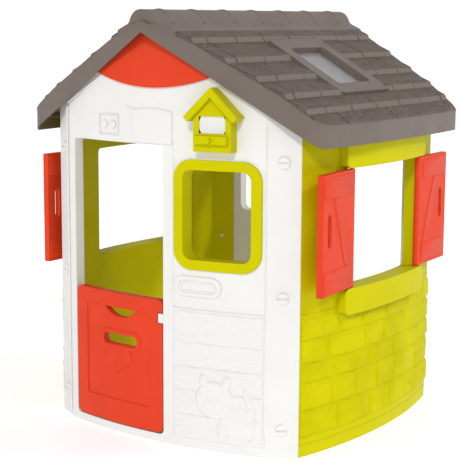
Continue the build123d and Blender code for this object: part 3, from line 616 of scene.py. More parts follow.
@dataclass
class Roof:
    """Tiles, eave rim and ridge of the roof. Sizes in millimetres."""

    finishes: Finishes
    # courses: each lip's place across and height, then the riser under it
    lips: tuple[Place, ...] = ((148.0, 1263.0), (253.0, 1206.0), (349.0, 1153.0), (435.0, 1105.0),
                               (499.0, 1062.0), (546.0, 1018.0))
    riser_run: float = 8.0
    riser_drop: float = 15.0
    last_drop: float = 8.0
    peak: Place = (16.0, 1319.2)
    lift: float = 5.0
    # tiles: pitch and joint along the ridge, where each course starts, slope of the eased ends
    tile_pitch: float = 156.0
    joint: float = 2.6
    offsets: tuple[float, ...] = (0.0, -309.0, -391.0, -433.0, -355.0, -300.0)
    tile_ease: Place = (1.5, 1.1)
    tile_count: int = 10
    tile_play: float = 1.2
    tile_seed: int = 11
    # plan of one half
    strip: float = 14.6
    ridge_half: float = 597.0
    eave: Place = (554.0, 469.5)
    eave_bow: float = 26.0
    eave_round: float = 60.0
    # roof window: middle across and up, slope, half its side
    window_centre: Place = (299.8, 1155.4)
    window_tilt: float = 30.0
    window_half: float = 157.0
    # smooth strip along the edges, and the rim on it
    skin_top: float = 1326.0
    strip_drop: float = 9.0
    strip_end: Place = (552.0, 1016.0)
    rim_inset: float = 1.6
    rim_start: float = 58.0
    rim_steps: int = 22
    rim_sink: float = 0.6
    rim_radius: float = 2.6
    # ridge cap: top half of the round roll, then the skirt and its underside, across and up
    roll: tuple[Place, ...] = ((0.0, 1350.0), (13.0, 1348.4), (25.0, 1344.2), (35.0, 1337.5), (43.0, 1328.5),
                               (48.5, 1319.0), (52.5, 1311.0))
    skirt: tuple[Place, ...] = ((58.0, 1306.4), (66.0, 1303.0), (103.0, 1288.6), (106.5, 1286.0),
                                (107.5, 1266.0), (60.0, 1284.0))
    cap_under: float = 1306.0
    cap_proud: float = 0.4
    roll_centre: Place = (0.0, 1300.0)
    # ribs across the roll: place along it and rise of each ring
    rib_section: tuple[Place, ...] = ((-9.0, -0.8), (-7.0, 2.2), (3.0, 2.8), (9.0, -0.8))
    rib_pitch: float = 169.0
    rib_count: int = 7
    smooth_angle: float = 28.0

    def profile(self, course: int) -> list[Place]:
        """Section of one course's tiles, across the house and up.

        Args:
            course: number of the course, from the ridge.

        Returns:
            Closed outline of the section.
        """
        if course == 0:
            top = self.peak
        else:
            above = self.lips[course - 1]
            top = (above[0] + self.riser_run - 3.0, above[1] - self.riser_drop + 1.0)
        low = self.lips[course]
        drop = self.riser_drop if course < len(self.lips) - 1 else self.last_drop
        slope = (low[1] - top[1]) / (low[0] - top[0])
        front = (low[0] + self.riser_run, low[1] - drop)
        head = [(top[0], top[1] - 2.5), (top[0], top[1] + 0.5), (top[0] + 2, top[1] + 1.2 + 2 * slope)]
        lip = [(low[0] - 3.5, low[1] + self.lift - 3.5 * slope), (low[0] - 0.6, low[1] + self.lift - 0.4),
               (low[0] + 2.2, low[1] + self.lift - 2.8)]
        foot = [(front[0] + 1.6, front[1] + 1.8), (front[0] + 0.6, front[1] - 0.4),
                (front[0] - 3.0, front[1] - 1.0)]
        return [*head, *lip, *foot, (low[0] - 4.0, low[1] - 2.5)]

    def tile(self, course: int) -> bpy.types.Object:
        """One tile of a course, with its ends eased, centred across its width.

        Args:
            course: number of the course, from the ridge.

        Returns:
            The tile, to be laid in a row.
        """
        section = self.profile(course)
        width = self.tile_pitch - self.joint
        middle = np.mean(np.asarray(section), axis=0)
        flat = width / 2 - self.tile_ease[0]
        eased = self.tile_ease[1]
        stations = ((-width / 2, eased), (-flat, 0.0), (flat, 0.0), (width / 2, eased))
        points = []
        for y, ease in stations:
            for x, z in section:
                points.append((x - (ease if x > middle[0] else 0), y, z - ease))
        faces = loft_faces(len(section), len(stations))
        return make_piece(f"tile_{course}", points, faces, self.finishes.tiles)

    def row_tree(self) -> bpy.types.NodeTree:
        """Node tree that lays a row of tiles along the ridge's direction.

        Returns:
            The node tree, with an input for each RowInput.
        """
        tree = bpy.data.node_groups.new("tile_row", "GeometryNodeTree")
        face = tree.interface
        face.new_socket("Geometry", in_out="OUTPUT", socket_type="NodeSocketGeometry")
        kinds = {RowInput.COUNT: "NodeSocketInt", RowInput.START: "NodeSocketFloat",
                 RowInput.PITCH: "NodeSocketFloat", RowInput.PLAY: "NodeSocketFloat",
                 RowInput.SEED: "NodeSocketInt", RowInput.TILE: "NodeSocketObject",
                 RowInput.FINISH: "NodeSocketMaterial"}
        for name, kind in kinds.items():
            face.new_socket(name.value, in_out="INPUT", socket_type=kind)
        given = add_node(tree, "NodeGroupInput").outputs
        start = add_node(tree, "ShaderNodeCombineXYZ", None, {"Y": given[RowInput.START.value]})
        step = add_node(tree, "ShaderNodeCombineXYZ", None, {"Y": given[RowInput.PITCH.value]})
        line = add_node(tree, "GeometryNodeMeshLine", {"mode": "OFFSET"},
                        {"Count": given[RowInput.COUNT.value], "Start Location": start.outputs[0],
                         "Offset": step.outputs[0]})
        tile = add_node(tree, "GeometryNodeObjectInfo", {"As Instance": True},
                        {"Object": given[RowInput.TILE.value]})
        laid = add_node(tree, "GeometryNodeInstanceOnPoints", None,
                        {"Points": line.outputs[0], "Instance": tile.outputs["Geometry"]})
        slide = add_node(tree, "FunctionNodeRandomValue", {"data_type": "FLOAT"},
                         {"Max": given[RowInput.PLAY.value], "Seed": given[RowInput.SEED.value]})
        shift = add_node(tree, "ShaderNodeCombineXYZ", None,
                         {"X": slide.outputs["Value"], "Z": slide.outputs["Value"]})
        moved = add_node(tree, "GeometryNodeTranslateInstances", None,
                         {"Instances": laid.outputs[0], "Translation": shift.outputs[0]})
        real = add_node(tree, "GeometryNodeRealizeInstances", None, {"Geometry": moved.outputs[0]})
        dressed = add_node(tree, "GeometryNodeSetMaterial", None,
                           {"Geometry": real.outputs[0], "Material": given[RowInput.FINISH.value]})
        add_node(tree, "NodeGroupOutput", None, {"Geometry": dressed.outputs[0]})
        return tree

    def row(self, tree: bpy.types.NodeTree, course: int) -> bpy.types.Object:
        """Lay one course as a plain mesh object.

        Args:
            tree: node tree of the row.
            course: number of the course, from the ridge.

        Returns:
            The course as one object.
        """
        first = self.offsets[course] + self.tile_pitch / 2
        while first > -self.ridge_half - self.tile_pitch / 2:
            first -= self.tile_pitch
        return self.laid(tree, self.tile(course), f"course_{course}",
                         {RowInput.COUNT: self.tile_count, RowInput.START: first * MM,
                          RowInput.PITCH: self.tile_pitch * MM, RowInput.PLAY: self.tile_play * MM,
                          RowInput.SEED: self.tile_seed + course, RowInput.FINISH: self.finishes.tiles})

    @staticmethod
    def laid(tree: bpy.types.NodeTree, shape: bpy.types.Object, name: str, values: dict) -> bpy.types.Object:
        """Lay a shape in a row with the node tree and keep the result as a plain mesh object.

        Args:
            tree: node tree of the row.
            shape: object that is repeated, and removed afterwards.
            name: name of the result.
            values: the tree's other inputs, in metres where they are lengths.

        Returns:
            The row as one object.
        """
        holder = bpy.data.objects.new(name, bpy.data.meshes.new(name))
        bpy.context.scene.collection.objects.link(holder)
        modifier = holder.modifiers.new("row", "NODES")
        modifier.node_group = tree
        sockets = {item.name: item.identifier for item in tree.interface.items_tree}
        for key, value in {**values, RowInput.TILE: shape}.items():
            modifier[sockets[key.value]] = value
        mesh = plain_copy(holder)
        bpy.data.objects.remove(holder)
        bpy.data.objects.remove(shape)
        result = bpy.data.objects.new(name, mesh)
        bpy.context.scene.collection.objects.link(result)
        return result

    def outline(self, inset: float) -> list[Place]:
        """Right half of the roof's plan, from the front of the ridge round the eave to its back.

        Args:
            inset: how far inside the edge the outline runs.

        Returns:
            Points across and along the ridge.
        """
        eave_x, eave_y = self.eave
        arc_radius = (eave_y ** 2 + self.eave_bow ** 2) / (2 * self.eave_bow)
        arc_centre = eave_x + self.eave_bow - arc_radius
        run = Vector((eave_x, self.ridge_half - eave_y)).normalized()
        normal = Vector((run.y, -run.x))
        r = self.eave_round

        def gap(x: float) -> tuple[float, float]:
            """How far the fillet's centre is from touching the eave arc, for a centre at x."""
            y = -self.ridge_half + (run.y / run.x) * x + r / run.x
            return math.hypot(x - arc_centre, y) - (arc_radius - r), y

        low, high = 0.5 * eave_x, eave_x + self.eave_bow
        for _ in range(60):
            middle = (low + high) / 2
            low, high = (middle, high) if gap(middle)[0] < 0 else (low, middle)
        centre = Vector((low, gap(low)[1]))
        start = math.atan2(normal.y, normal.x)
        end = math.atan2(centre.y, centre.x - arc_centre)
        front = [(centre.x + (r - inset) * math.cos(a), centre.y + (r - inset) * math.sin(a))
                 for a in np.linspace(start, end, 10)]
        arc = [(arc_centre + (arc_radius - inset) * math.cos(a), (arc_radius - inset) * math.sin(a))
               for a in np.linspace(end, 0, 8)[1:]]
        half = [(0.0, -self.ridge_half + inset / run.x), *front, *arc]
        return half + [(x, -y) for x, y in reversed(half[:-1])]

    @staticmethod
    def clip(work: bmesh.types.BMesh, point: Vector, outward: Vector) -> None:
        """Cut away what lies outside a plane and close the cuts.

        Args:
            work: mesh that is cut.
            point: a point on the plane.
            outward: the plane's direction, towards what is removed.
        """
        bmesh.ops.bisect_plane(work, geom=work.verts[:] + work.edges[:] + work.faces[:], dist=1e-7,
                               plane_co=point, plane_no=outward, clear_outer=True)
        bmesh.ops.holes_fill(work, edges=[edge for edge in work.edges if edge.is_boundary], sides=0)

    def tiles(self, tree: bpy.types.NodeTree) -> bpy.types.Object:
        """Tiles of the right half, cut to its plan and round its window.

        Args:
            tree: node tree of the rows.

        Returns:
            The tiles as one piece.
        """
        rows = [self.row(tree, course) for course in range(len(self.lips))]
        whole = bmesh.new()
        for laid in rows:
            whole.from_mesh(laid.data)
            bpy.data.objects.remove(laid)
        plan = self.outline(self.strip)
        for (x0, y0), (x1, y1) in zip(plan, plan[1:]):
            self.clip(whole, Vector((x0, y0, 0)) * MM, Vector((y1 - y0, x0 - x1, 0)).normalized())
        base = bpy.data.meshes.new("tiles")
        whole.to_mesh(base)
        whole.free()
        tilt = math.radians(self.window_tilt)
        down = Vector((math.cos(tilt), 0, -math.sin(tilt)))
        centre = Vector((self.window_centre[0], 0, self.window_centre[1])) * MM
        side = Vector((0, 1, 0))
        reach = self.window_half * MM
        cuts = ([(side, -1)], [(side, 1)], [(side, 0), (down, -1)], [(side, 0), (down, 1)])
        final = bmesh.new()
        for cut in cuts:
            part = bmesh.new()
            part.from_mesh(base)
            for axis, sign in cut:
                if sign:
                    self.clip(part, centre + axis * sign * reach, -axis * sign)
                else:
                    self.clip(part, centre + axis * reach, axis)
                    self.clip(part, centre - axis * reach, -axis)
            piece = bpy.data.meshes.new("part")
            part.to_mesh(piece)
            part.free()
            final.from_mesh(piece)
        mesh = bpy.data.meshes.new("roof_right_tiles")
        final.to_mesh(mesh)
        final.free()
        return finish_mesh("roof_right_tiles", mesh, self.finishes.tiles, self.smooth_angle)

    def strip_height(self, x: float) -> float:
        """Height of the smooth strip along the verges and the eave.

        Args:
            x: distance from the ridge across the house.

        Returns:
            The height.
        """
        line = [(0.0, self.skin_top - self.strip_drop)]
        line += [(lip_x, lip_z - self.strip_drop) for lip_x, lip_z in self.lips[:-1]] + [self.strip_end]
        return float(np.interp(x, [point[0] for point in line], [point[1] for point in line]))

    def rim(self) -> bpy.types.Object:
        """Rounded rim along the outer edge of the right half's verges and eave.

        Returns:
            The rim as one piece.
        """
        plan = self.outline(self.rim_inset)
        (x0, y0), (x1, y1) = plan[0], plan[1]
        marks = [(x0 + (x1 - x0) * t, y0 + (y1 - y0) * t) for t in np.linspace(0, 1, self.rim_steps)[:-1]]
        front = [(x, y) for x, y in marks if x > self.rim_start]
        back = [(x, -y) for x, y in reversed(front)]
        path = [(x, y, self.strip_height(x) - self.rim_sink) for x, y in [*front, *plan[1:-1], *back]]
        return bead("roof_right_rim", np.asarray(path), self.rim_radius, self.finishes.slate)

    def cap(self) -> bpy.types.Object:
        """Ridge cap: a roll that flares into a skirt, its closed ends in line with the verges.

        Returns:
            The cap, without its ribs.
        """
        half = [*self.roll, *self.skirt]
        section = [*half, (0.0, self.cap_under), *((-x, z) for x, z in reversed(half[1:]))]
        slant = (self.ridge_half - self.eave[1]) / self.eave[0]
        points = []
        for end in (-1, 1):
            points += [(x, end * (self.ridge_half + self.cap_proud - slant * abs(x)), z) for x, z in section]
        return make_piece("cap", points, loft_faces(len(section), 2), self.finishes.slate, self.smooth_angle)

    def rib(self) -> bpy.types.Object:
        """One slim rib over the roll of the ridge cap.

        Returns:
            The rib, to be laid in a row.
        """
        arch = np.asarray([*((-x, z) for x, z in reversed(self.roll[1:])), *self.roll])
        away = arch - self.roll_centre
        away /= np.linalg.norm(away, axis=1)[:, None]
        points = []
        for foot, out in zip(arch, away):
            points += [(foot[0] + out[0] * rise, y, foot[1] + out[1] * rise) for y, rise in self.rib_section]
        faces = loft_faces(len(self.rib_section), len(arch))
        return make_piece("rib", points, faces, self.finishes.slate, self.smooth_angle)

    def ridge(self, tree: bpy.types.NodeTree) -> bpy.types.Object:
        """Ridge cap with its ribs, as one piece.

        Args:
            tree: node tree that lays the ribs.

        Returns:
            The ridge piece.
        """
        start = -self.rib_pitch * (self.rib_count - 1) / 2
        cap = self.cap()
        ribs = self.laid(tree, self.rib(), "ribs", {
            RowInput.COUNT: self.rib_count, RowInput.START: start * MM, RowInput.PITCH: self.rib_pitch * MM,
            RowInput.PLAY: 0.0, RowInput.SEED: 3, RowInput.FINISH: self.finishes.slate})
        return merged("ridge_cap", [cap, ribs], self.finishes.slate, self.smooth_angle)

    def build(self, nodes: dict) -> None:
        """Dress the roof's own parts and lay the tiles, rims and ridge cap.

        Args:
            nodes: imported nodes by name.
        """
        for name in ("roof_right", "roof_left", "ridge_roll", "right_roof_screws", "left_roof_screws"):
            dress(nodes[name], self.finishes.slate)
        for name in ("right_roof_pane", "left_roof_pane"):
            dress(nodes[name], self.finishes.clear)
        tree = self.row_tree()
        for right, left in ((self.tiles(tree), "roof_left_tiles"), (self.rim(), "roof_left_rim")):
            other = turned(left, right)
            report(right, HOUSE)
            report(other, HOUSE)
        cap = self.ridge(tree)
        report(cap, HOUSE)
        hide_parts("ridge_roll")


def dress(node: bpy.types.Object, finish: bpy.types.Material) -> None:
    """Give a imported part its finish.

    Args:
        node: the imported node.
        finish: its material.
    """
    node.data.materials.clear()
    node.data.materials.append(finish)


# ---------------------------------------------------------------- walls
@dataclass
class StoneWalls:
    """Rough stone courses moulded into the lower part of the side walls. Sizes in millimetres."""

    finishes: Finishes
    courses: tuple[float, ...] = (59.0, 141.0, 225.0, 287.0, 360.0, 434.0)
    half_width: float = 424.0
    groove: float = 4.6
    rise: float = 5.6
    cell: float = 3.1
    seed: int = 5
    lengths: Place = (85.0, 190.0)
    waver: float = 6.0
    nibble: float = 2.5
    swell: float = 2.6
    pits: float = 2.4
    beads: tuple[tuple[str, float, float], ...] = (("base_line", 38.0, 2.0), ("course_line", 444.0, 2.4))

    def joints(self, course: int) -> np.ndarray:
        """Upright joints of one course, unevenly spaced.

        Args:
            course: number of the course, from the ground.

        Returns:
            Their places across the wall.
        """
        rng = np.random.default_rng(self.seed + course)
        places = [-self.half_width - 5]
        while places[-1] < self.half_width:
            places.append(places[-1] + rng.uniform(*self.lengths))
        return np.asarray(places)

    def height_at(self, across: np.ndarray, up: np.ndarray) -> np.ndarray:
        """Rise of the stones over the wall.

        Args:
            across: distance across the wall.
            up: height over the ground.

        Returns:
            The rise at each point.
        """
        waver = self.waver * (lattice_noise(across / 34, up / 34, 3) - 0.5)
        waver = waver + self.nibble * (lattice_noise(across / 9, up / 9, 4) - 0.5)
        result = np.full_like(across, 0.25)
        for course, (low, high) in enumerate(zip(self.courses, self.courses[1:])):
            joints = self.joints(course)
            for number, (left, right) in enumerate(zip(joints, joints[1:])):
                rng = np.random.default_rng(self.seed * 100 + course * 20 + number)
                edge_x = np.minimum(across - left, right - across) + waver
                edge_z = np.minimum(up - low, high - up) + waver
                inside = np.minimum(edge_x, edge_z)
                lean = rng.uniform(-0.8, 0.8) * (across - (left + right) / 2) / (right - left)
                stone = smoothstep(self.groove * 0.4, self.groove * 2.2, inside) * (self.rise + lean)
                result = np.maximum(result, stone)
        stony = smoothstep(1.0, 2.6, result)
        rough = lattice_noise(across / 24, up / 20, 7) * self.swell
        rough = rough + lattice_noise(across / 8, up / 14, 9) * self.pits
        return result + stony * (rough - 2.2)

    def build(self, nodes: dict) -> None:
        """Dress the side walls and lay their stones and mouldings.

        Args:
            nodes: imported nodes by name.
        """
        for name in ("right_wall", "left_wall", "right_window_sill", "right_window_head", "left_window_sill",
                     "left_window_head"):
            dress(nodes[name], self.finishes.lime)
        along = np.linspace(-self.half_width, self.half_width, int(2 * self.half_width / self.cell))
        up = np.linspace(self.courses[0] - 2, self.courses[-1] + 2,
                         int((self.courses[-1] - self.courses[0]) / self.cell))
        right = relief("right_wall_stones", SIDE, along, up, self.height_at, self.finishes.stone)
        report(right, HOUSE)
        report(turned("left_wall_stones", right, mirror=True), HOUSE)
        for label, height, radius in self.beads:
            line = np.linspace(-self.half_width, self.half_width, 60)
            path = SIDE.place(line, np.full_like(line, height), np.zeros_like(line))
            piece = bead(f"right_wall_{label}", path, radius, self.finishes.lime)
            report(piece, HOUSE)
            report(turned(f"left_wall_{label}", piece, mirror=True), HOUSE)


@dataclass
class FrontWall:
    """Planks, cat, door surround and mouldings of the white front wall. Sizes in millimetres."""

    finishes: Finishes
    panel: tuple[float, float] = (77.0, 378.0)
    grooves: tuple[float, ...] = (28.0, 107.0, 184.0, 260.0, 337.0, 434.0)
    cell: float = 2.2
    # beads: name, corners across and up, radius
    mouldings: tuple[tuple[str, tuple[Place, ...], float], ...] = (
        ("door_surround", ((-104, 1051), (-60, 1047), (-8, 1030), (40, 1008), (66, 985), (77, 955),
                           (78, 900), (77, 440)), 3.0),
        ("plank_edge", ((79, 439.0), (230, 439.0), (379, 439.0)), 4.6),
        ("panel_side", ((381, 28), (381, 440), (381, 1010)), 2.6),
        ("left_side", ((-392, 20), (-392, 500), (-394, 1040)), 2.6),
        ("left_slope", ((-390, 1052), (-300, 1100), (-212, 1147)), 3.0),
        ("right_slope", ((212, 1147), (300, 1100), (372, 1060)), 3.0),
    )

    @staticmethod
    def ellipse(across: np.ndarray, up: np.ndarray, centre: tuple[float, float], half: tuple[float, float],
                turn: float = 0.0) -> np.ndarray:
        """Soft disc that is 1 inside an ellipse and falls to 0 at its edge.

        Args:
            across: distance across the wall.
            up: height over the ground.
            centre: its middle.
            half: its half width and half height.
            turn: its turn in degrees.

        Returns:
            Its strength at each point.
        """
        c, s = math.cos(math.radians(turn)), math.sin(math.radians(turn))
        x, z = across - centre[0], up - centre[1]
        u, v = (c * x + s * z) / half[0], (-s * x + c * z) / half[1]
        distance = (1 - np.sqrt(u * u + v * v)) * min(half)
        return smoothstep(0.0, 6.0, distance) * (0.75 + 0.25 * np.clip(distance / min(half), 0, 1))

    def cat(self, across: np.ndarray, up: np.ndarray) -> np.ndarray:
        """Rise of the sitting cat: body, head, ears, muzzle, legs and tail.

        Args:
            across: distance across the wall.
            up: height over the ground.

        Returns:
            The rise at each point.
        """
        part = self.ellipse
        body = np.maximum(part(across, up, (298, 88), (60, 62)), part(across, up, (272, 70), (42, 44)))
        tail = part(across, up, (335, 160), (16, 62), 18) - part(across, up, (316, 158), (14, 52), 18)
        legs = np.maximum(part(across, up, (246, 52), (13, 26)), part(across, up, (276, 50), (13, 24)))
        head = part(across, up, (224, 164), (64, 62))
        ears = np.maximum(part(across, up, (190, 214), (17, 36), 16),
                          part(across, up, (262, 214), (17, 38), -18))
        muzzle = part(across, up, (214, 146), (26, 19))
        nose = part(across, up, (214, 154), (8, 6))
        eyes = np.maximum(part(across, up, (198, 178), (8, 10)), part(across, up, (236, 178), (8, 10)))
        base = np.maximum.reduce([body * 8.0, np.clip(tail, 0, 1) * 7.0, (body > 0.1) * legs * 10.0,
                                  head * 12.0, ears * 10.0])
        return base + muzzle * 3.0 + nose * 2.6 - eyes * 2.4

    def height_at(self, across: np.ndarray, up: np.ndarray) -> np.ndarray:
        """Rise of the planks and the cat over the wall.

        Args:
            across: distance across the wall.
            up: height over the ground.

        Returns:
            The rise at each point.
        """
        plank = np.full_like(across, 0.2)
        for number, (low, high) in enumerate(zip(self.grooves, self.grooves[1:])):
            inside = np.minimum(up - low, high - up)
            lap = 1.0 - 0.9 * (up - low) / (high - low)
            plank = np.maximum(plank, smoothstep(0.6, 3.0, inside) * (2.6 + lap + 0.2 * (number % 2)))
        grain = lattice_noise(across / 90, up / 3.5, 21) + 0.5 * lattice_noise(across / 40, up / 1.9, 22)
        cat = self.cat(across, up)
        ends = smoothstep(0, 5, np.minimum(across - self.panel[0], self.panel[1] - across))
        field = (plank + (grain - 0.75) * 0.7 * (cat < 0.3)) * ends * (cat < 2.6)
        return field + np.maximum(cat, 0.15) * ends

    def build(self, nodes: dict) -> None:
        """Dress the white parts and lay the planks, the door surround and the edge mouldings.

        Args:
            nodes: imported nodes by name.
        """
        for name in ("front_wall", "rear_wall", "front_corner_screws", "rear_corner_screws",
                     "door_hinge_pins", "door_catch", "number_plate", "name_plate"):
            dress(nodes[name], self.finishes.white)
        dress(nodes["front_window_frame"], self.finishes.lime)
        along = np.linspace(*self.panel, int((self.panel[1] - self.panel[0]) / self.cell))
        tall = self.grooves[-1] - self.grooves[0]
        up = np.linspace(self.grooves[0], self.grooves[-1] + 1, int(tall / self.cell))
        planks = relief("front_wall_planks", FRONT, along, up, self.height_at, self.finishes.planks)
        report(planks, HOUSE)
        for name, corners, radius in self.mouldings:
            path = np.asarray(smooth_path(corners))
            line = FRONT.place(path[:, 0], path[:, 1], np.zeros(len(path)))
            report(bead(f"front_wall_{name}", line, radius, self.finishes.white), HOUSE)


def smooth_path(corners: Sequence[Place], steps: int = 10) -> list[Place]:
    """Smooth line through a few corners, as closely spaced points.

    Args:
        corners: points the line goes through.
        steps: steps between two corners.

    Returns:
        The points, the last corner included.
    """
    points = [corners[0], *corners, corners[-1]]
    result = []
    for a, b, c, d in zip(points, points[1:], points[2:], points[3:]):
        for t in np.linspace(0, 1, steps, endpoint=False):
            result.append(tuple(0.5 * (2 * q + (r - p) * t + (2 * p - 5 * q + 4 * r - s) * t * t
                                       + (3 * q - p - 3 * r + s) * t ** 3)
                                for p, q, r, s in zip(a, b, c, d)))
    return result + [corners[-1]]


# ---------------------------------------------------------------- door
@dataclass
class Door:
    """Letter slot rim and letter of the door leaf. Sizes in millimetres."""

    finishes: Finishes
    slot: tuple[float, float] = (-141.0, 305.0)
    # width, height and corner radius of the rim's outer and inner outline
    slot_rim: Point = (178, 64, 31.9)
    slot_hole: Point = (149, 36, 17.9)
    letter: tuple[Place, ...] = ((-203, 240), (-161, 189), (-83, 240), (-109, 288), (-185, 276))

    def build(self, nodes: dict) -> None:
        """Dress the leaf and add its raised details.

        Args:
            nodes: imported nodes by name.
        """
        dress(nodes["door_leaf"], self.finishes.red)
        rim = [(self.slot[0] + x, self.slot[1] + z) for x, z in rounded_outline(*self.slot_rim, 8)]
        hole = [(self.slot[0] + x, self.slot[1] + z) for x, z in rounded_outline(*self.slot_hole, 8)]
        piece = self.ring("door_slot_rim", rim, hole)
        report(piece, "door")
        shape = raised_shape("door_letter", FRONT, soften(self.letter),
                             ((0, -3.6), (0, -0.6), (1.2, 0.4), (4, 0.8)), self.finishes.red)
        report(shape, "door")

    def ring(self, name: str, outer: Sequence[Place],
             inner: Sequence[Place]) -> bpy.types.Object:
        """Raised rim between two outlines.

        Args:
            name: the piece's name.
            outer: its outer outline.
            inner: its inner outline, with as many points.

        Returns:
            The rim.
        """
        outer_a, inner_a = np.asarray(outer), np.asarray(inner)
        middle = (outer_a * 0.75 + inner_a * 0.25, outer_a * 0.3 + inner_a * 0.7)
        levels = [(outer_a, -4.0), (outer_a, -1.0), (middle[0], 1.6), (middle[1], 1.6), (inner_a, 0.2),
                  (inner_a, -4.0)]
        rings = [FRONT.place(line[:, 0], line[:, 1], np.full(len(line), rise)) for line, rise in levels]
        faces = loft_faces(len(outer_a), len(rings), capped=False, looped=True)
        return make_piece(name, np.concatenate(rings), faces, self.finishes.red, 50.0)


def soften(corners: Sequence[Place], radius: float = 7.0, steps: int = 4) -> list[Place]:
    """Outline with its corners rounded.

    Args:
        corners: corners of the outline.
        radius: how far from a corner the rounding starts.
        steps: points in each corner.

    Returns:
        The rounded outline.
    """
    result = []
    count = len(corners)
    for i, corner in enumerate(corners):
        here = Vector(corner)
        before = Vector(corners[i - 1]) - here
        after = Vector(corners[(i + 1) % count]) - here
        reach = min(radius, before.length / 2.2, after.length / 2.2)
        start, end = here + before.normalized() * reach, here + after.normalized() * reach
        for t in np.linspace(0, 1, steps):
            point = start * (1 - t) ** 2 + here * 2 * t * (1 - t) + end * t * t
            result.append((point.x, point.y))
    return result


# ---------------------------------------------------------------- shutters
@dataclass
class Shutters:
    """Raised boards on both faces of the four shutters. Sizes in millimetres."""

    finishes: Finishes
    axis: tuple[float, float] = (524.0, 224.0)
    length: float = 221.0
    low: float = 508.0
    high: float = 873.0
    half_thickness: float = 10.0
    rise: float = 2.2
    openings: tuple[tuple[str, int, int, float], ...] = (
        ("right_front", 1, -1, 175.0), ("right_rear", 1, 1, 183.0),
        ("left_front", -1, -1, 180.0), ("left_rear", -1, 1, 178.0))

    def boards(self) -> list[list[Place]]:
        """Outlines of the boards on one face: two rails and a brace between them.

        Returns:
            One outline for each board, along the shutter and up.
        """
        near, far = 20.0, self.length - 8.0
        top, bottom = (self.high - 74.0, self.high - 10.0), (self.low + 10.0, self.low + 72.0)
        brace = [(near + 4, bottom[1] + 1.5), (near + 44, bottom[1] + 1.5), (far - 62, top[0] - 1.5),
                 (far - 102, top[0] - 1.5)]
        return [[(near, top[0]), (far, top[0]), (far, top[1]), (near, top[1])],
                [(near, bottom[0]), (far, bottom[0]), (far, bottom[1]), (near, bottom[1])], brace]

    def build(self, nodes: dict) -> None:
        """Dress the shutters and lay the boards on both of their faces.

        Args:
            nodes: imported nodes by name.
        """
        for name, side, end, opening in self.openings:
            dress(nodes[f"{name}_shutter"], self.finishes.red)
            turn = math.radians(-90.0 * end + opening * end * side)
            along = np.array([math.cos(turn), math.sin(turn)])
            normal = np.array([-math.sin(turn), math.cos(turn)])
            base = np.array([side * self.axis[0], end * self.axis[1]])
            parts = []
            for face in (-1, 1):
                for outline in self.boards():
                    parts.append(self.board(soften(outline, 4.0, 3), base, along, normal * face))
            piece = merged(f"{name}_shutter_boards", parts, self.finishes.boards)
            report(piece, f"{name}_leaf")

    def board(self, outline: Sequence[Place], base: np.ndarray, along: np.ndarray,
              normal: np.ndarray) -> bpy.types.Object:
        """One raised board with eased edges.

        Args:
            outline: its outline, along the shutter and up.
            base: place of the hinge axis.
            along: direction of the shutter.
            normal: direction its face looks in.

        Returns:
            The board.
        """
        rim = np.asarray(outline)
        centre = rim.mean(axis=0)
        points = []
        for shrink, rise in ((0.0, -1.0), (0.0, self.rise - 0.9), (1.2, self.rise)):
            offset = rim - centre
            ring = centre + offset * (1 - shrink / np.maximum(np.abs(offset).max(axis=0), 1))
            for u, z in ring:
                place = base + along * u + normal * (self.half_thickness + rise)
                points.append((place[0], place[1], z))
        return make_piece("board", points, loft_faces(len(rim), 3), self.finishes.boards)


# ---------------------------------------------------------------- gable, bird house and plates
@dataclass
class Trim:
    """Gable pieces, bird house and the relief on the plates. Sizes in millimetres."""

    finishes: Finishes
    number_plate: Place = (-180.0, 994.0)
    name_plate: Place = (166.0, 513.0)
    bead_radius: float = 2.0
    dot_spread: float = 19.0
    dot_radius: float = 13.0
    dot_sides: int = 28

    def build(self, nodes: dict) -> None:
        """Dress the small parts and add their details.

        Args:
            nodes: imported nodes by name.
        """
        for name in ("front_gable_piece", "rear_gable_piece"):
            dress(nodes[name], self.finishes.red)
        for name in ("bird_house_body", "bird_house_roof", "bird_house_perch"):
            dress(nodes[name], self.finishes.lime)
        dress(nodes["bird_house_cover"], self.finishes.milky)
        for name, centre, size, proud in (
            ("number_plate_frame", self.number_plate, (84.0, 62.0, 3.0), 2.4),
            ("name_plate_frame", self.name_plate, (116.0, 26.0, 12.9), 3.4),
        ):
            line = np.asarray([(centre[0] + x, centre[1] + z) for x, z in rounded_outline(*size)])
            path = FRONT.place(line[:, 0], line[:, 1], np.full(len(line), proud))
            frame = bead(name, path, self.bead_radius, self.finishes.white, closed=True)
            report(frame, HOUSE)
        dots = [self.dot((self.number_plate[0] + x, self.number_plate[1]))
                for x in (-self.dot_spread, self.dot_spread)]
        report(merged("number_plate_dots", dots, self.finishes.white), HOUSE)

    def dot(self, centre: Place) -> bpy.types.Object:
        """Raised disc on the number plate.

        Args:
            centre: its middle, across and up.

        Returns:
            The disc.
        """
        rim = [(centre[0] + self.dot_radius * math.cos(a), centre[1] + self.dot_radius * math.sin(a))
               for a in np.linspace(0, 2 * math.pi, self.dot_sides, endpoint=False)]
        return raised_shape("dot", FRONT, rim, ((0, 1.0), (0, 3.4), (0.8, 4.2), (2.4, 4.8)),
                            self.finishes.white)


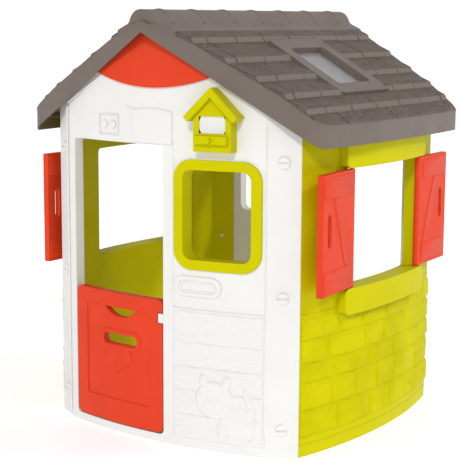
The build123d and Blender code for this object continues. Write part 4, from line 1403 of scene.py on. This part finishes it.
# ---------------------------------------------------------------- stage
@dataclass
class Studio:
    """Pale floor, soft lights and the camera. Distances in metres."""

    camera_place: Point = (2.5147, -3.8111, 1.3260)
    yaw: float = 34.01
    pitch: float = 9.17
    roll: float = 0.318
    lens: float = 103.1
    sky: float = 0.54
    lamps: tuple[tuple[str, float, float, float], ...] = (("front_key", 0.39, 24.0, 30.0),
                                                          ("side_key", 0.33, 122.0, 38.0))
    softness: float = 6.0
    lamp_distance: float = 6.0
    horizon: float = 1.05
    horizon_band: Place = (0.1, 0.3)
    floor_reach: float = 30.0
    floor_colour: str = "#CBCBCB"
    floor_glow: float = 0.55

    def build(self) -> None:
        """Set the stage."""
        scene = bpy.context.scene
        scene.view_settings.view_transform = "Standard"
        self.floor()
        self.world(scene)
        for lamp in self.lamps:
            self.sun(*lamp)
        self.camera(scene)

    def floor(self) -> None:
        """Large pale floor."""
        mesh = bpy.data.meshes.new("floor")
        reach = self.floor_reach
        mesh.from_pydata([(-reach, -reach, 0), (reach, -reach, 0), (reach, reach, 0), (-reach, reach, 0)], [],
                         [(0, 1, 2, 3)])
        floor = bpy.data.objects.new("floor", mesh)
        bpy.context.scene.collection.objects.link(floor)
        material = bpy.data.materials.new("pale_floor")
        material.use_nodes = True
        shader = material.node_tree.nodes["Principled BSDF"]
        shader.inputs["Base Color"].default_value = linear(self.floor_colour)
        shader.inputs["Roughness"].default_value = 0.6
        shader.inputs["Emission Color"].default_value = (1.0, 1.0, 1.0, 1.0)
        shader.inputs["Emission Strength"].default_value = self.floor_glow
        mesh.materials.append(material)

    def world(self, scene: bpy.types.Scene) -> None:
        """Pale surroundings, brightest at the horizon, where the floor meets them.

        Args:
            scene: scene that gets them.
        """
        world = bpy.data.worlds.new("studio")
        world.use_nodes = True
        tree = world.node_tree
        tree.nodes.clear()
        place = add_node(tree, "ShaderNodeTexCoord")
        axes = add_node(tree, "ShaderNodeSeparateXYZ", None, {"Vector": place.outputs["Generated"]})
        level = add_node(tree, "ShaderNodeMapRange",
                         {"From Min": self.horizon_band[0], "From Max": self.horizon_band[1],
                          "To Min": self.horizon, "To Max": self.sky},
                         {"Value": axes.outputs["Z"]})
        glow = add_node(tree, "ShaderNodeBackground", {"Color": (1.0, 1.0, 1.0, 1.0)},
                        {"Strength": level.outputs[0]})
        add_node(tree, "ShaderNodeOutputWorld", None, {"Surface": glow.outputs[0]})
        scene.world = world

    def sun(self, name: str, power: float, yaw: float, height: float) -> None:
        """Large far lamp.

        Args:
            name: the lamp's name.
            power: brightness it gives a white surface that faces it.
            yaw: degrees from straight in front towards the right.
            height: degrees over the floor.
        """
        lamp = bpy.data.lights.new(name, "SUN")
        lamp.energy = power * math.pi
        lamp.angle = math.radians(self.softness)
        holder = bpy.data.objects.new(name, lamp)
        turn, rise = math.radians(yaw), math.radians(height)
        towards = Vector((math.sin(turn) * math.cos(rise), -math.cos(turn) * math.cos(rise), math.sin(rise)))
        holder.rotation_euler = towards.to_track_quat("Z", "Y").to_euler()
        holder.location = towards * self.lamp_distance
        bpy.context.scene.collection.objects.link(holder)

    def camera(self, scene: bpy.types.Scene) -> None:
        """Camera at the viewing angle.

        Args:
            scene: scene that gets it.
        """
        yaw, pitch, roll = (math.radians(v) for v in (self.yaw, self.pitch, self.roll))
        back = Vector((math.sin(yaw) * math.cos(pitch), -math.cos(yaw) * math.cos(pitch), math.sin(pitch)))
        level = (-back).cross(Vector((0, 0, 1))).normalized()
        upright = level.cross(-back)
        right = math.cos(roll) * level + math.sin(roll) * upright
        up = -math.sin(roll) * level + math.cos(roll) * upright
        data = bpy.data.cameras.new("camera")
        data.sensor_width = 36.0
        data.lens = self.lens
        holder = bpy.data.objects.new("camera", data)
        holder.matrix_world = Matrix((
            (right.x, up.x, back.x, self.camera_place[0]),
            (right.y, up.y, back.y, self.camera_place[1]),
            (right.z, up.z, back.z, self.camera_place[2]),
            (0, 0, 0, 1)))
        bpy.context.scene.collection.objects.link(holder)
        scene.camera = holder


def main() -> None:
    """Build every piece round the frame."""
    logging.basicConfig(level=logging.INFO, format="%(name)s: %(message)s")
    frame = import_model()
    nodes = frame["nodes"]
    finishes = Finishes()
    Studio().build()
    for kind in (Roof, StoneWalls, FrontWall, Door, Shutters, Trim):
        kind(finishes).build(nodes)


if __name__ == "__main__":
    main()
